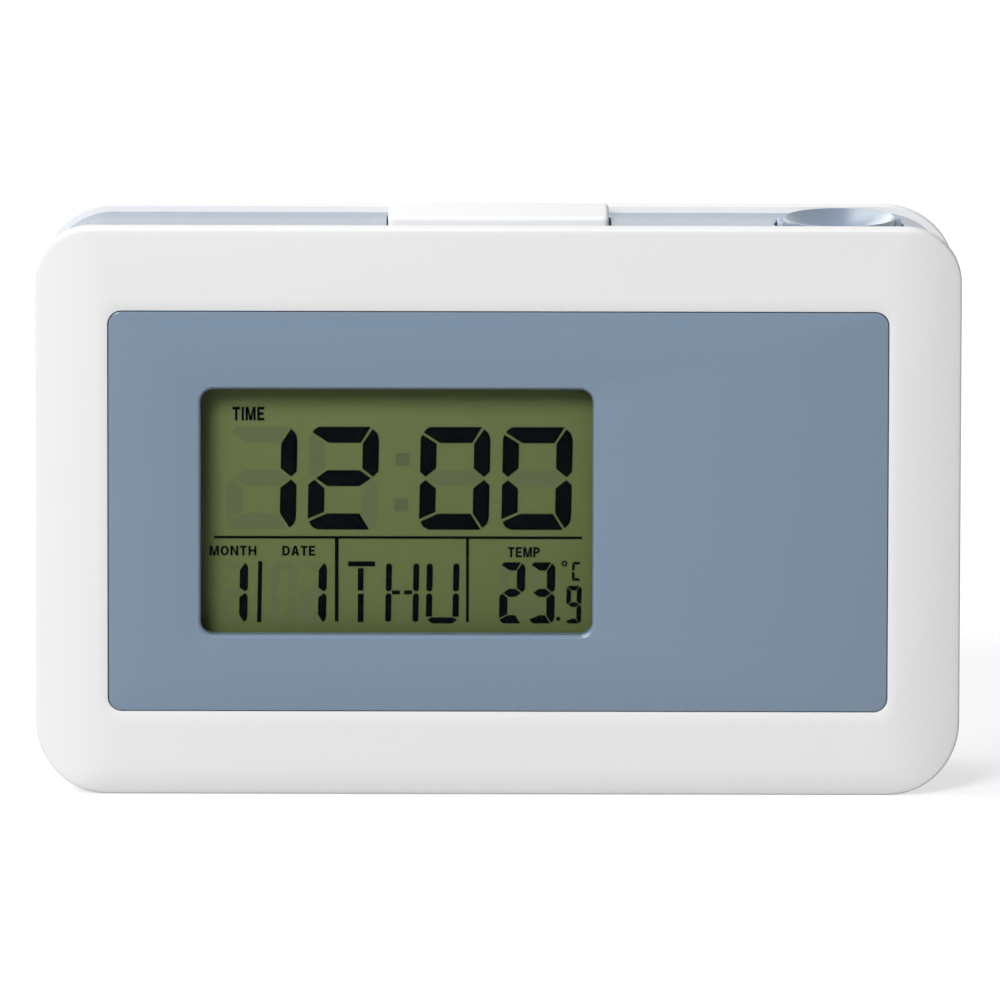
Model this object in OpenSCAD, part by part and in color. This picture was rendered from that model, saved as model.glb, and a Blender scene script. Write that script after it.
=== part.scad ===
// Projection alarm clock: a flat table clock with a display window, a snooze bar
// and a tilting projector head in a channel along its top.
// Millimetres. X runs to the right, Y to the rear, Z up. The origin is on the resting plane,
// under the middle of the clock. Depths named _at are measured rearwards from the front face.

/* [Body] */
// Width of the clock
body_w = 140; // [126:1:160]
// Height of the case, without the snooze bar
body_h = 87; // [79:1:100]
// Radius of the outer corners, seen from the front
corner_r = 11; // [10:0.5:13]
// Radius of the bezel's two upper corners
face_corner_r = 8.5; // [8:0.5:10]
// How far the frame and the rear case lie inside the bezel at the sides
shell_side = 0.5; // [0.3:0.1:0.8]
// Depth of the front bezel
bezel_d = 4; // [3.8:0.1:5]
// Width of the channel between the bezel and the rear case
channel_w = 18; // [17.8:0.1:22]
// Depth of the rear case
rear_d = 9.6; // [9.4:0.1:14]
// Radius of the rounded rear edge
rear_fillet = 8; // [5:0.5:8.5]
// Depth of the channel below the outer surface
waist_inset = 1.1; // [0.8:0.1:1.6]
// Wall thickness of the middle frame
band_wall = 1.6; // [1.4:0.1:2]
// Wall thickness of the rear case
wall = 2; // [1.6:0.1:2.4]
// Width of the strip where each side of the face curves back
face_side = 12; // [10:1:16]
// How far the face curves back at each side edge
face_side_drop = 2.2; // [1.5:0.1:2.5]
// Height of the strip where the foot of the face curves back
face_foot = 4.5; // [3:0.5:6]
// How far the foot of the face curves back
face_foot_drop = 0.8; // [0.4:0.1:1.2]
// Length of the tongues that centre the shells in the frame
tongue_l = 1.4; // [1:0.1:1.5]
// Thickness of the tongues
tongue_t = 1.2; // [1:0.1:1.4]

/* [Clearances] */
// Gap between fixed pieces that nest
nest_gap = 0.05; // [0.03:0.01:0.1]
// Gap round pieces that slide
slide_gap = 0.25; // [0.2:0.05:0.4]
// Radial clearance of pins and plungers
pin_gap = 0.05; // [0.03:0.01:0.1]

/* [Front panel] */
// Distance of the front panel from each side of the clock
panel_side = 11.1; // [11:0.1:14]
// Distance of the front panel from the top of the case
panel_top = 12.65; // [12.35:0.05:14]
// Height of the front panel's lower edge above the table
panel_foot = 13.05; // [12.75:0.05:14]
// Corner radius of the panel
panel_r = 2; // [1:0.5:4]
// Gap round the panel in the bezel
panel_gap = 0.15; // [0.1:0.05:0.3]
// How far the panel lies behind the face
panel_recess = 0.05; // [0:0.05:0.3]
// Thickness of the bezel in front of the panel's flange
plate_t = 2; // [1.8:0.1:2.4]
// Width of the flange behind the bezel
flange_w = 2.6; // [2.4:0.1:2.8]
// Thickness of the flange
flange_t = 1.2; // [1.1:0.1:1.4]
// Radius of the stakes that hold the panel
stake_r = 0.8; // [0.6:0.1:0.9]

/* [Window] */
// Distance of the display window from the panel's left edge
window_left = 13.9; // [13.5:0.1:16]
// Distance of the display window from the panel's right edge
window_right = 44.6; // [43.5:0.1:46]
// Distance of the display window from the panel's lower edge
window_low = 11.445; // [11.345:0.05:12.5]
// Distance of the display window from the panel's upper edge
window_top = 11.705; // [11.505:0.05:12.8]
// Corner radius of the window
window_r = 2.2; // [1:0.1:4]
// Depth of the window opening
window_depth = 2.2; // [2:0.1:2.4]
// Thickness of the clear window
clear_t = 0.8; // [0.6:0.1:0.8]
// Overlap of the clear window behind the panel
clear_margin = 1.5; // [1:0.1:2]

/* [Display] */
// Thickness of the display glass
glass_t = 1.8; // [1.4:0.1:2]
// Overlap of the glass behind the window at the sides and the top
glass_margin = 3.2; // [3:0.1:3.5]
// Length of the contact ledge below the window
glass_foot = 5.5; // [5.4:0.1:6]
// Thickness of the backlight block
backlight_t = 4.2; // [3:0.1:5]
// Overlap of the backlight behind the window
backlight_margin = 2; // [1:0.1:2]
// Wall of the display holder
holder_wall = 1.5; // [1.2:0.1:2]
// Distance of the contact strip's ends from the ends of the glass
zebra_end = 7.85; // [6:0.05:12]
// Thickness of the contact strip
zebra_t = 2.4; // [2:0.1:2.5]

/* [Main board] */
// Distance of the main board from the left side of the clock
board_left = 13; // [12.5:0.5:15]
// Distance of the main board from the right side of the clock
board_right = 29; // [28:0.5:31]
// Height of the main board's lower edge above the table
board_low = 15; // [14.5:0.25:16]
// Distance of the main board from the top of the case
board_top = 17.5; // [17:0.25:19]
// Thickness of the main board
board_t = 1.6; // [1:0.1:1.6]
// Distance of the board's screws from its edges
board_inset = 3.5; // [3:0.1:4]
// Radius of the buzzer
buzzer_r = 6; // [5:0.1:6.2]
// Height of the buzzer
buzzer_h = 5.5; // [4:0.1:5.8]
// Distance of the buzzer's middle from the board's left edge
buzzer_side = 11; // [10:0.5:12]
// Distance of the buzzer's middle from the board's lower edge
buzzer_foot = 15; // [14:0.5:16]
// Radius of the capacitors
capacitor_r = 2.5; // [2:0.1:3]
// Height of the capacitors
capacitor_h = 5.2; // [4:0.1:5.6]
// Radius of the controller's blob
chip_r = 8; // [6:0.5:9]

/* [Projector] */
// Distance of the projector's middle from the side of the clock
head_side = 18.4; // [18:0.1:20]
// Height of the tilt axis below the top of the case
head_drop = 2.4; // [2.3:0.1:2.6]
// Radius of the bowl's rim
head_rim_r = 8.5; // [8.3:0.1:8.5]
// Height of the rim above the tilt axis
head_rim_z = 2.2; // [2.1:0.1:2.3]
// Thickness of the bowl at its rim
head_wall = 0.2; // [0.2:0.05:0.4]
// Radius of the sphere that the inside of the bowl is part of
dish_ball_r = 11.5; // [11:0.5:13]
// Depth of the lens below the rim
lens_drop = 3.7; // [3.6:0.1:3.9]
// Radius of the hole in the channel floor
head_hole_r = 9.8; // [9.6:0.1:10.2]
// Radius of the tilt bosses
trunnion_r = 2.1; // [1.8:0.1:2.2]
// Radius of the tilt pins
tilt_pin_r = 0.9; // [0.7:0.05:1]
// Length of the tilt pins
tilt_pin_l = 1.9; // [1.5:0.1:2]
// Radius of the hollow through each tilt pin
pin_hollow_r = 0.45; // [0.3:0.05:0.5]
// Thickness of the bearing cheeks
cheek_t = 1.6; // [1.4:0.1:2]
// Radius of the optical barrel
barrel_r = 3.6; // [3.2:0.1:3.8]
// Radius of the projector lens
lens_r = 3.5; // [3:0.1:3.55]
// Depth of the barrel's open end below the tilt axis
barrel_end = 6.6; // [6.4:0.1:6.8]

/* [Snooze bar] */
// Width of the snooze bar
snooze_w = 33.4; // [30:0.2:36]
// Depth of the snooze bar
snooze_d = 12.8; // [11:0.2:13]
// Height of the snooze bar above the case
snooze_proud = 0.9; // [0.9:0.1:1.5]
// Travel of the snooze bar
snooze_travel = 0.8; // [0.5:0.1:0.8]
// Corner radius of the snooze bar, seen from above
snooze_r = 1; // [0.6:0.1:2]
// Wall of the hollow snooze bar
snooze_wall = 1.3; // [1:0.1:1.6]
// Thickness of the bar's retaining flange
snooze_flange_t = 1; // [0.8:0.1:1.2]
// Wire radius of the return springs
spring_wire_r = 0.25; // [0.2:0.05:0.35]
// Coil radius of the return springs
spring_r = 1.9; // [1.6:0.1:2.2]

/* [Keys and switch] */
// Number of keys on the back
key_count = 5; // [3:1:5]
// Distance between the keys
key_pitch = 13; // [12:0.5:13]
// Middle of the first key, sideways
key_x = -39; // [-40:0.5:-38]
// Distance of the keys from the top of the case
key_drop = 25; // [24:0.5:26]
// Width of a key
key_w = 9; // [8:0.5:9.5]
// Height of a key
key_h = 5; // [4:0.5:5.5]
// How far the keys stand out
key_proud = 0.8; // [0.7:0.1:1.2]
// Travel of the keys
key_travel = 0.6; // [0.4:0.1:0.7]
// Middle of the projection switch, sideways
switch_x = 32; // [31:0.5:33]
// Travel of the projection switch
switch_travel = 2.5; // [2:0.1:3]
// How far the switch knob stands out
knob_proud = 0.6; // [0.4:0.1:0.7]
// Side of a push switch's body
tact_side = 6; // [5.5:0.1:6.5]
// Height of a push switch's body
tact_h = 3.5; // [3:0.1:3.8]
// Radius of a push switch's plunger
plunger_r = 1.75; // [1.5:0.05:2]

/* [Battery] */
// Radius of a cell
cell_r = 5.25; // [5:0.05:5.25]
// Length of a cell with its contact nub
cell_l = 44.5; // [43:0.1:45]
// Number of cells
cell_count = 3; // [2:1:3]
// Distance between the cells
cell_pitch = 10.9; // [10.7:0.05:11]
// Room at each end for the contacts
contact_room = 2.8; // [2.4:0.1:3]
// Wall of the battery compartment
cell_wall = 1.2; // [1:0.1:1.4]
// Height of the compartment's floor edge above the table
cell_z = 10.3; // [10.3:0.1:11]
// Thickness of the battery door
door_t = 1.7; // [1.5:0.05:1.8]
// Gap round the battery door
door_gap = 0.15; // [0.1:0.05:0.3]
// Radius of the door's rounded hinge edge
hinge_r = 1; // [0.9:0.05:1]
// Radius of the door's hinge pins
hinge_pin_r = 0.55; // [0.4:0.05:0.6]

/* [Case screws] */
// Distance of the lower screws from the sides of the clock
screw_low_side = 18; // [17:0.5:20]
// Height of the lower screws
screw_low_z = 12; // [12:0.1:13]
// Sideways place of the upper screws
screw_top_x = 30; // [29:0.5:31]
// Distance of the upper screws from the top
screw_top_drop = 12; // [11.5:0.1:12.5]
// Shank radius of the case screws
screw_r = 1.25; // [1:0.05:1.4]
// Head radius of the case screws
screw_head_r = 2.4; // [2:0.1:2.5]
// Shank radius of the small screws
small_r = 0.85; // [0.7:0.05:0.9]
// Head radius of the small screws
small_head_r = 1.7; // [1.4:0.1:1.8]

/* [Hidden] */
$fn = 64;
eps = 0.01;
key_names = ["mode", "set", "up", "down", "alarm"];

// Depth stations, from the front face rearwards
band_back_at = bezel_d + channel_w;
case_back_at = band_back_at + rear_d;
inner_back_at = case_back_at - wall;
total_d = case_back_at + key_proud;
channel_at = bezel_d + channel_w / 2;
panel_back_at = plate_t + flange_t;
glass_at = panel_back_at + nest_gap;
glass_back_at = glass_at + glass_t;
backlight_at = glass_back_at + 2 * nest_gap;
board_at = backlight_at + backlight_t + nest_gap;
board_back_at = board_at + board_t;
post_split_at = band_back_at - 2;
key_flange_t = 1;
key_flange_at = inner_back_at - 0.1 - key_flange_t;
plunger_out = 1.4;
key_stem_l = 1.2;
plunger_top_at = key_flange_at - key_stem_l;
tact_top_at = plunger_top_at - plunger_out;
key_board_t = 1.2;
key_board_back_at = tact_top_at - tact_h;
key_board_at = key_board_back_at - key_board_t;

// Width of the frame and the rear case, and insets of the nested rings from their outer surface
shell_w = body_w - 2 * shell_side;
band_in = waist_inset + band_wall;
tongue_in = band_in + nest_gap;
tongue_end = tongue_in + tongue_t;
floor_z = body_h - waist_inset;
floor_under_z = floor_z - band_wall;
tongue_notch_h = 12;

// Places in the front view
head_x = body_w / 2 - head_side;
key_z = body_h - key_drop;
panel_w = body_w - 2 * panel_side;
panel_h = body_h - panel_top - panel_foot;
panel_z = panel_foot + panel_h / 2;
window_w = panel_w - window_left - window_right;
window_h = panel_h - window_low - window_top;
window_x = (window_left - window_right) / 2;
window_z = panel_foot + window_low + window_h / 2;
board_w = body_w - board_left - board_right;
board_h = body_h - board_low - board_top;
board_x = (board_left - board_right) / 2;
board_z = board_low + board_h / 2;
board_left_x = board_x - board_w / 2;
board_right_x = board_x + board_w / 2;
board_top_z = board_z + board_h / 2;
panel_pocket = flange_w + nest_gap;
stake_x = panel_w / 2 + flange_w / 2;
stake_z = panel_h / 2 + flange_w / 2;
stake_side_z = stake_z - 12;
stake_top_x = stake_x - 22;
stake_head_r = stake_r + 0.45;
stake_head_t = 0.6;
glass_w = window_w + 2 * glass_margin;
glass_h = window_h + glass_margin + glass_foot;
glass_z = window_z + (glass_margin - glass_foot) / 2;
glass_low_z = glass_z - glass_h / 2;
zebra_w = glass_w - 2 * zebra_end;
zebra_z = glass_low_z + 0.6 + zebra_t / 2;
backlight_w = window_w + 2 * backlight_margin;
backlight_h = window_h + 2 * backlight_margin;
led_x = window_x + backlight_w / 2;
buzzer_x = board_left_x + buzzer_side;
buzzer_z = board_low + buzzer_foot;
buzzer_hole_r = 1.2;
sound_ring_r = 4;
sound_hole_r = 0.75;
capacitor_x = board_right_x - 17;
capacitor_pitch = 8;
capacitor_count = 3;
thermistor_r = 1.2;
thermistor_x = board_right_x - 8;
thermistor_z = board_low + 9.25;
crystal_r = 1.5;
crystal_l = 6;
crystal_x = window_x + 23.35;
crystal_z = board_z + 14;
resistor_x = window_x - 25.15;
resistor_z = board_z + 8;
resistor_pitch = 5;
lead_socket_x = board_right_x - 7.5;
lead_socket_z = board_top_z - 9.5;
lead_socket = [5, 4, 3.4];
ribbon_socket_x = window_x - 5;
ribbon_socket_z = board_top_z - 7.5;
ribbon_socket = [12, 3, 2.4];
board_screws_x = board_w / 2 - board_inset;
board_screws_z = board_h / 2 - board_inset;
bezel_screw_x = shell_w / 2 - 5.5;
bezel_screw_zs = [20, body_h - 20];
bezel_seat_at = bezel_d + 5;
lug_t = 2;
lug_r = 2.6;
boss_r = 2.2;
small_screw_l = 6;
small_head_t = 1.1;
screw_low_x = body_w / 2 - screw_low_side;
screw_top_z = body_h - screw_top_drop;
case_screw_places = [[-screw_low_x, screw_low_z], [screw_low_x, screw_low_z],
                     [-screw_top_x, screw_top_z], [screw_top_x, screw_top_z]];
screw_seat_at = post_split_at + 4;
screw_l = 10;
screw_head_t = 1.6;
frame_post_r = 3;
rear_post_r = 4;

// Projector
head_z = body_h - head_drop;
head_ball_r = sqrt(head_rim_r * head_rim_r + head_rim_z * head_rim_z);
dish_r = head_rim_r - head_wall;
dish_ball_z = head_rim_z + sqrt(dish_ball_r * dish_ball_r - dish_r * dish_r);
lens_top = head_rim_z - lens_drop;
trunnion_end = head_hole_r - 0.4;
cheek_end = head_hole_r + cheek_t;
cheek_half = 4;
cheek_low_z = head_z - 5;
lens_t = 1.6;
slide_t = 0.6;
slide_side = 4.6;
lead_r = 0.38;
lead_notch_w = 3.2;

// Snooze bar
snooze_top_z = body_h + snooze_proud;
snooze_flange_top = floor_under_z - 0.1;
snooze_low_z = snooze_flange_top - snooze_flange_t;
snooze_lip = 1;
snooze_roof_z = snooze_top_z - snooze_wall;
snooze_stem_low = snooze_low_z - 1.1;
snooze_tact_top = snooze_stem_low - plunger_out + 0.3;
snooze_board_top = snooze_tact_top - tact_h;
snooze_board_t = 1.2;
guide_x = snooze_w / 2 + snooze_lip + slide_gap;
guide_t = 1.6;
guide_half = 6.5;
snooze_screw_x = guide_x + guide_t + 1;
snooze_board_end = snooze_screw_x + 3;
snooze_spring_x = 11;
spring_low_z = snooze_board_top + nest_gap;
spring_high_z = snooze_roof_z - nest_gap;

// Keys, switch and battery
function key_place(i) = key_x + i * key_pitch;
key_board_x = -4;
key_board_w = 98;
key_board_h = 12;
key_boss_xs = [key_x - 9.5, key_x + 4 * key_pitch + 9.5];
knob_w = 3;
knob_h = 2.6;
knob_blade_h = 1.5;
switch_body_w = 9;
switch_body_h = 4;
switch_slot_h = 1.7;
compartment_w = cell_l + 2 * contact_room;
compartment_h = cell_count * cell_pitch;
compartment_mid_z = cell_z + compartment_h / 2;
compartment_floor_at = inner_back_at + 0.3 - 2 * cell_r - 0.8;
cell_at = compartment_floor_at + cell_r + 0.15;
door_w = compartment_w + 2 * cell_wall + 4.6;
door_low_z = cell_z - 0.8;
door_top_z = cell_z + compartment_h + 0.4;
hinge_z = door_low_z + hinge_r;
hinge_at = case_back_at - hinge_r;
hinge_pin_l = 1.4;
ledge_t = 1;
ledge_lap = 0.6;
grip_w = 14;
grip_drop = 6;
grip_pitch = 1.4;
grip_groove = 0.6;
grip_depth = 0.3;
scoop_r = 5;
scoop_depth = 0.9;
function cell_place(i) = cell_z + cell_pitch * (i + 0.5);

// ---------- helpers ----------
function at(depth) = depth - total_d / 2;

// Rounded rectangle in the plane
module round_rect(w, h, r) {
    square([w - 2 * r, h], center = true);
    square([w, h - 2 * r], center = true);
    for (sx = [-1, 1], sy = [-1, 1])
        translate([sx * (w / 2 - r), sy * (h / 2 - r)]) circle(r);
}

// Upright rounded plate from one depth to another
module plate(x, z, w, h, r, from, to)
    translate([x, at(to), z]) rotate([90, 0, 0]) linear_extrude(to - from) round_rect(w, h, r);

// Outline of the shells behind the bezel, moved inwards, from one depth to another
module body_plate(inset, from, to)
    plate(0, body_h / 2, shell_w - 2 * inset, body_h - 2 * inset, corner_r - inset, from, to);

// Outline of the bezel, whose upper corners are tighter than its lower ones
module face_outline() {
    low_x = body_w / 2 - corner_r;
    high_x = body_w / 2 - face_corner_r;
    translate([-low_x, 0]) square([2 * low_x, body_h / 2]);
    translate([-high_x, body_h / 2 - eps]) square([2 * high_x, body_h / 2 + eps]);
    translate([-body_w / 2, corner_r]) square([body_w, body_h - corner_r - face_corner_r]);
    for (s = [-1, 1]) {
        translate([s * low_x, corner_r]) circle(corner_r);
        translate([s * high_x, body_h - face_corner_r]) circle(face_corner_r);
    }
}

// Upright block given by its middle in X and Z
module block(x, z, w, h, from, to)
    translate([x - w / 2, at(from), z - h / 2]) cube([w, to - from, h]);

// Round rod along Y
module rod(x, z, r, from, to)
    translate([x, at(to), z]) rotate([90, 0, 0]) cylinder(h = to - from, r = r);

// Round rod along X
module cross_rod(x, y, z, r, l)
    translate([x, y, z]) rotate([0, 90, 0]) cylinder(h = l, r = r);

// Screw along Y with a crossed recess, its head's seat at one depth and its point in front of it
module screw(x, z, seat, length, r, head_r, head_t) {
    difference() {
        union() {
            rod(x, z, r, seat - length, seat + eps);
            rod(x, z, head_r, seat, seat + head_t);
        }
        for (a = [0, 90])
            translate([x, at(seat + head_t), z]) rotate([0, a, 0])
                cube([head_r * 1.2, head_t, head_r * 0.3], center = true);
    }
}

// Half profile of the rear case: flat back, rounded rear edge
module rim_profile(reach, r, depth) {
    square([reach - r, depth]);
    square([reach, depth - r]);
    translate([reach - r, depth - r]) circle(r);
}

// Rounded block whose rear edge is rounded all the way round
module cushion(w, h, corner, r, depth) {
    side_x = w / 2 - corner;
    side_y = h / 2 - corner;
    translate([-side_x, -side_y, 0]) cube([2 * side_x, 2 * side_y, depth]);
    for (turn = [0 : 3]) {
        half_x = turn % 2 == 0 ? side_x : side_y;
        half_y = turn % 2 == 0 ? side_y : side_x;
        rotate([0, 0, 90 * turn]) {
            translate([half_x, half_y, 0]) rotate_extrude(angle = 90)
                intersection() {
                    rim_profile(corner, r, depth);
                    square([corner, depth]);
                }
            translate([half_x, half_y, 0]) rotate([90, 0, 0]) linear_extrude(2 * half_y)
                intersection() {
                    rim_profile(corner, r, depth);
                    square([corner, depth]);
                }
        }
    }
}

module rear_cushion(inset, from, to)
    translate([0, at(from), body_h / 2]) rotate([-90, 0, 0])
        cushion(shell_w - 2 * inset, body_h - 2 * inset, corner_r - inset, rear_fillet - inset, to - from);

// Tube of round section swept along points
function unit(v) = v / norm(v);
function path_dir(path, i) =
    unit(path[min(i + 1, len(path) - 1)] - path[max(i - 1, 0)]);
function path_ring(path, i, r, sides, up) =
    let (dir = path_dir(path, i), side = unit(cross(dir, up)), lift = cross(side, dir))
    [for (j = [0 : sides - 1])
        path[i] + r * (cos(360 * j / sides) * side + sin(360 * j / sides) * lift)];
module tube(path, r, up, sides = 8) {
    last = len(path) - 1;
    points = [for (i = [0 : last]) each path_ring(path, i, r, sides, up)];
    faces = concat(
        [[for (j = [0 : sides - 1]) j]],
        [for (i = [0 : last - 1], j = [0 : sides - 1])
            let (a = i * sides + j, b = i * sides + (j + 1) % sides)
            [a, a + sides, b + sides, b]],
        [[for (j = [sides - 1 : -1 : 0]) last * sides + j]]);
    polyhedron(points = points, faces = faces, convexity = 6);
}

// Coil spring along Z, its radius running from one value to another
function coil_path(r_low, r_high, height, turns, steps) =
    [for (i = [0 : turns * steps])
        let (t = i / (turns * steps), r = r_low + (r_high - r_low) * t)
        [r * cos(360 * i / steps), r * sin(360 * i / steps), height * t]];
module coil(r_low, r_high, height, turns, wire_r)
    translate([0, 0, wire_r])
        tube(coil_path(r_low, r_high, height - 2 * wire_r, turns, 12), wire_r, [0, 0, 1], 6);

// ---------- shells ----------
// Outline of the bezel with its face curved back at the sides and the foot. Each cutting
// profile runs past the outline, and each arc starts a hair in front of the flat face.
module face_shape() {
    side_flat = body_w / 2 - face_side;
    side_r = (face_side * face_side + face_side_drop * face_side_drop) / (2 * face_side_drop);
    foot_r = (face_foot * face_foot + face_foot_drop * face_foot_drop) / (2 * face_foot_drop);
    arc_lead = 0.02;
    past = 1;
    intersection() {
        translate([0, at(bezel_d), 0]) rotate([90, 0, 0]) linear_extrude(bezel_d + past) face_outline();
        translate([0, at(0), -past]) linear_extrude(body_h + 2 * past) {
            translate([-side_flat - past, 0]) square([2 * side_flat + 2 * past, bezel_d + past]);
            for (s = [-1, 1]) intersection() {
                translate([s * side_flat, side_r - arc_lead]) circle(side_r);
                translate([s > 0 ? side_flat : -body_w / 2 - past, 0]) square([face_side + past, bezel_d + past]);
            }
        }
        translate([-body_w / 2 - past, at(0), 0]) rotate([90, 0, 90]) linear_extrude(body_w + 2 * past) {
            translate([-past, face_foot + past / 2]) square([bezel_d + 2 * past, body_h - face_foot + past]);
            intersection() {
                translate([foot_r - arc_lead, face_foot]) circle(foot_r);
                translate([-past, -past]) square([bezel_d + 2 * past, face_foot + 2 * past]);
            }
        }
    }
}

module tongue_ring(from, to) difference() {
    body_plate(tongue_in, from, to);
    body_plate(tongue_end, from - eps, to + eps);
    block(head_x, head_z, 2 * head_hole_r, tongue_notch_h, from - eps, to + eps);
}

module front_bezel() color("whitesmoke") {
    difference() {
        union() {
            face_shape();
            tongue_ring(bezel_d - eps, bezel_d + tongue_l);
            for (s = [-1, 1], z = bezel_screw_zs)
                rod(s * bezel_screw_x, z, boss_r, bezel_d - eps, bezel_seat_at - lug_t);
        }
        plate(0, panel_z, panel_w + 2 * panel_gap, panel_h + 2 * panel_gap, panel_r + panel_gap,
              -1, bezel_d + 1);
        plate(0, panel_z, panel_w + 2 * panel_pocket, panel_h + 2 * panel_pocket, panel_r + panel_pocket,
              plate_t, bezel_d + 1);
        for (s = [-1, 1], z = bezel_screw_zs)
            rod(s * bezel_screw_x, z, small_r + nest_gap, bezel_d - 1.5, bezel_d + 4);
    }
    for (s = [-1, 1], t = [-1, 0, 1]) {
        rod(s * stake_x, panel_z + t * stake_side_z, stake_r, plate_t - eps, panel_back_at + eps);
        rod(s * stake_x, panel_z + t * stake_side_z, stake_head_r, panel_back_at, panel_back_at + stake_head_t);
    }
    for (s = [-1, 1], t = [-1, 1]) {
        rod(s * stake_top_x, panel_z + t * stake_z, stake_r, plate_t - eps, panel_back_at + eps);
        rod(s * stake_top_x, panel_z + t * stake_z, stake_head_r, panel_back_at, panel_back_at + stake_head_t);
    }
}

module front_panel() color("lightslategray") difference() {
    union() {
        plate(0, panel_z, panel_w, panel_h, panel_r, panel_recess, plate_t + eps);
        plate(0, panel_z, panel_w + 2 * flange_w, panel_h + 2 * flange_w, panel_r + flange_w,
              plate_t, panel_back_at);
        for (sx = [-1, 1], sz = [-1, 1])
            rod(board_x + sx * board_screws_x, board_z + sz * board_screws_z, boss_r,
                panel_back_at - eps, board_at);
    }
    plate(window_x, window_z, window_w, window_h, window_r, -1, bezel_d);
    plate(window_x, window_z, window_w + 2 * clear_margin + 2 * nest_gap,
          window_h + 2 * clear_margin + 2 * nest_gap, window_r, window_depth, bezel_d);
    for (s = [-1, 1], t = [-1, 0, 1])
        rod(s * stake_x, panel_z + t * stake_side_z, stake_r + nest_gap, plate_t - 0.6, bezel_d);
    for (s = [-1, 1], t = [-1, 1])
        rod(s * stake_top_x, panel_z + t * stake_z, stake_r + nest_gap, plate_t - 0.6, bezel_d);
    for (sx = [-1, 1], sz = [-1, 1])
        rod(board_x + sx * board_screws_x, board_z + sz * board_screws_z, small_r + nest_gap,
            board_at - 5, board_at + eps);
}

module middle_frame() color("lightslategray") difference() {
    union() {
        difference() {
            body_plate(waist_inset, bezel_d, band_back_at);
            body_plate(band_in, bezel_d - eps, band_back_at + eps);
        }
        // guides and bosses under the snooze bar
        for (s = [-1, 1]) {
            translate([s * (guide_x + guide_t / 2) - guide_t / 2, at(channel_at) - guide_half, snooze_board_top])
                cube([guide_t, 2 * guide_half, floor_under_z - snooze_board_top + eps]);
            translate([s * snooze_screw_x, at(channel_at), snooze_board_top])
                cylinder(h = floor_under_z - snooze_board_top + eps, r = 2);
        }
        // bearing cheeks of the projector
        for (s = [-1, 1])
            translate([head_x + s * (head_hole_r + cheek_t / 2) - cheek_t / 2, at(channel_at) - cheek_half,
                       cheek_low_z])
                cube([cheek_t, 2 * cheek_half, floor_under_z - cheek_low_z + eps]);
        // screw posts and their ribs
        for (p = case_screw_places) {
            rod(p[0], p[1], frame_post_r, board_back_at + 1, post_split_at);
            wall_z = p[1] < body_h / 2 ? band_in : body_h - band_in;
            block(p[0], (wall_z + p[1]) / 2, 1.6, abs(p[1] - wall_z) + 2 * eps, board_back_at + 1, post_split_at);
        }
        // lugs for the bezel's screws
        for (s = [-1, 1], z = bezel_screw_zs) {
            rod(s * bezel_screw_x, z, lug_r, bezel_seat_at - lug_t, bezel_seat_at);
            block(s * (bezel_screw_x + shell_w / 2 - band_in) / 2, z, shell_w / 2 - band_in - bezel_screw_x + 2 * eps,
                  2 * lug_r, bezel_seat_at - lug_t, bezel_seat_at);
        }
    }
    // slot for the snooze bar
    translate([0, at(channel_at), floor_under_z - eps]) linear_extrude(band_wall + 1)
        round_rect(snooze_w + 2 * slide_gap, snooze_d + 2 * slide_gap, snooze_r + slide_gap);
    for (s = [-1, 1])
        translate([s * snooze_screw_x, at(channel_at), snooze_board_top - eps])
            cylinder(h = 5, r = small_r + nest_gap);
    // hole and bearings for the projector
    translate([head_x, at(channel_at), cheek_low_z - 1]) cylinder(h = 20, r = head_hole_r);
    cross_rod(head_x - cheek_end - 1, at(channel_at), head_z, tilt_pin_r + pin_gap, 2 * cheek_end + 2);
    block(lead_start_x - lead_notch_w / 2 + 0.2, head_z - 2, lead_notch_w, 2 * (2 + lead_r + 0.3),
          channel_at - lead_r - 0.5, channel_at + lead_r + 0.5);
    for (p = case_screw_places) rod(p[0], p[1], screw_r + nest_gap, 1, case_back_at);
    for (s = [-1, 1], z = bezel_screw_zs) rod(s * bezel_screw_x, z, small_r + 0.2, bezel_d, bezel_seat_at + 1);
}

module key_outline(w, h) round_rect(w, h, h / 2 - eps);

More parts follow.
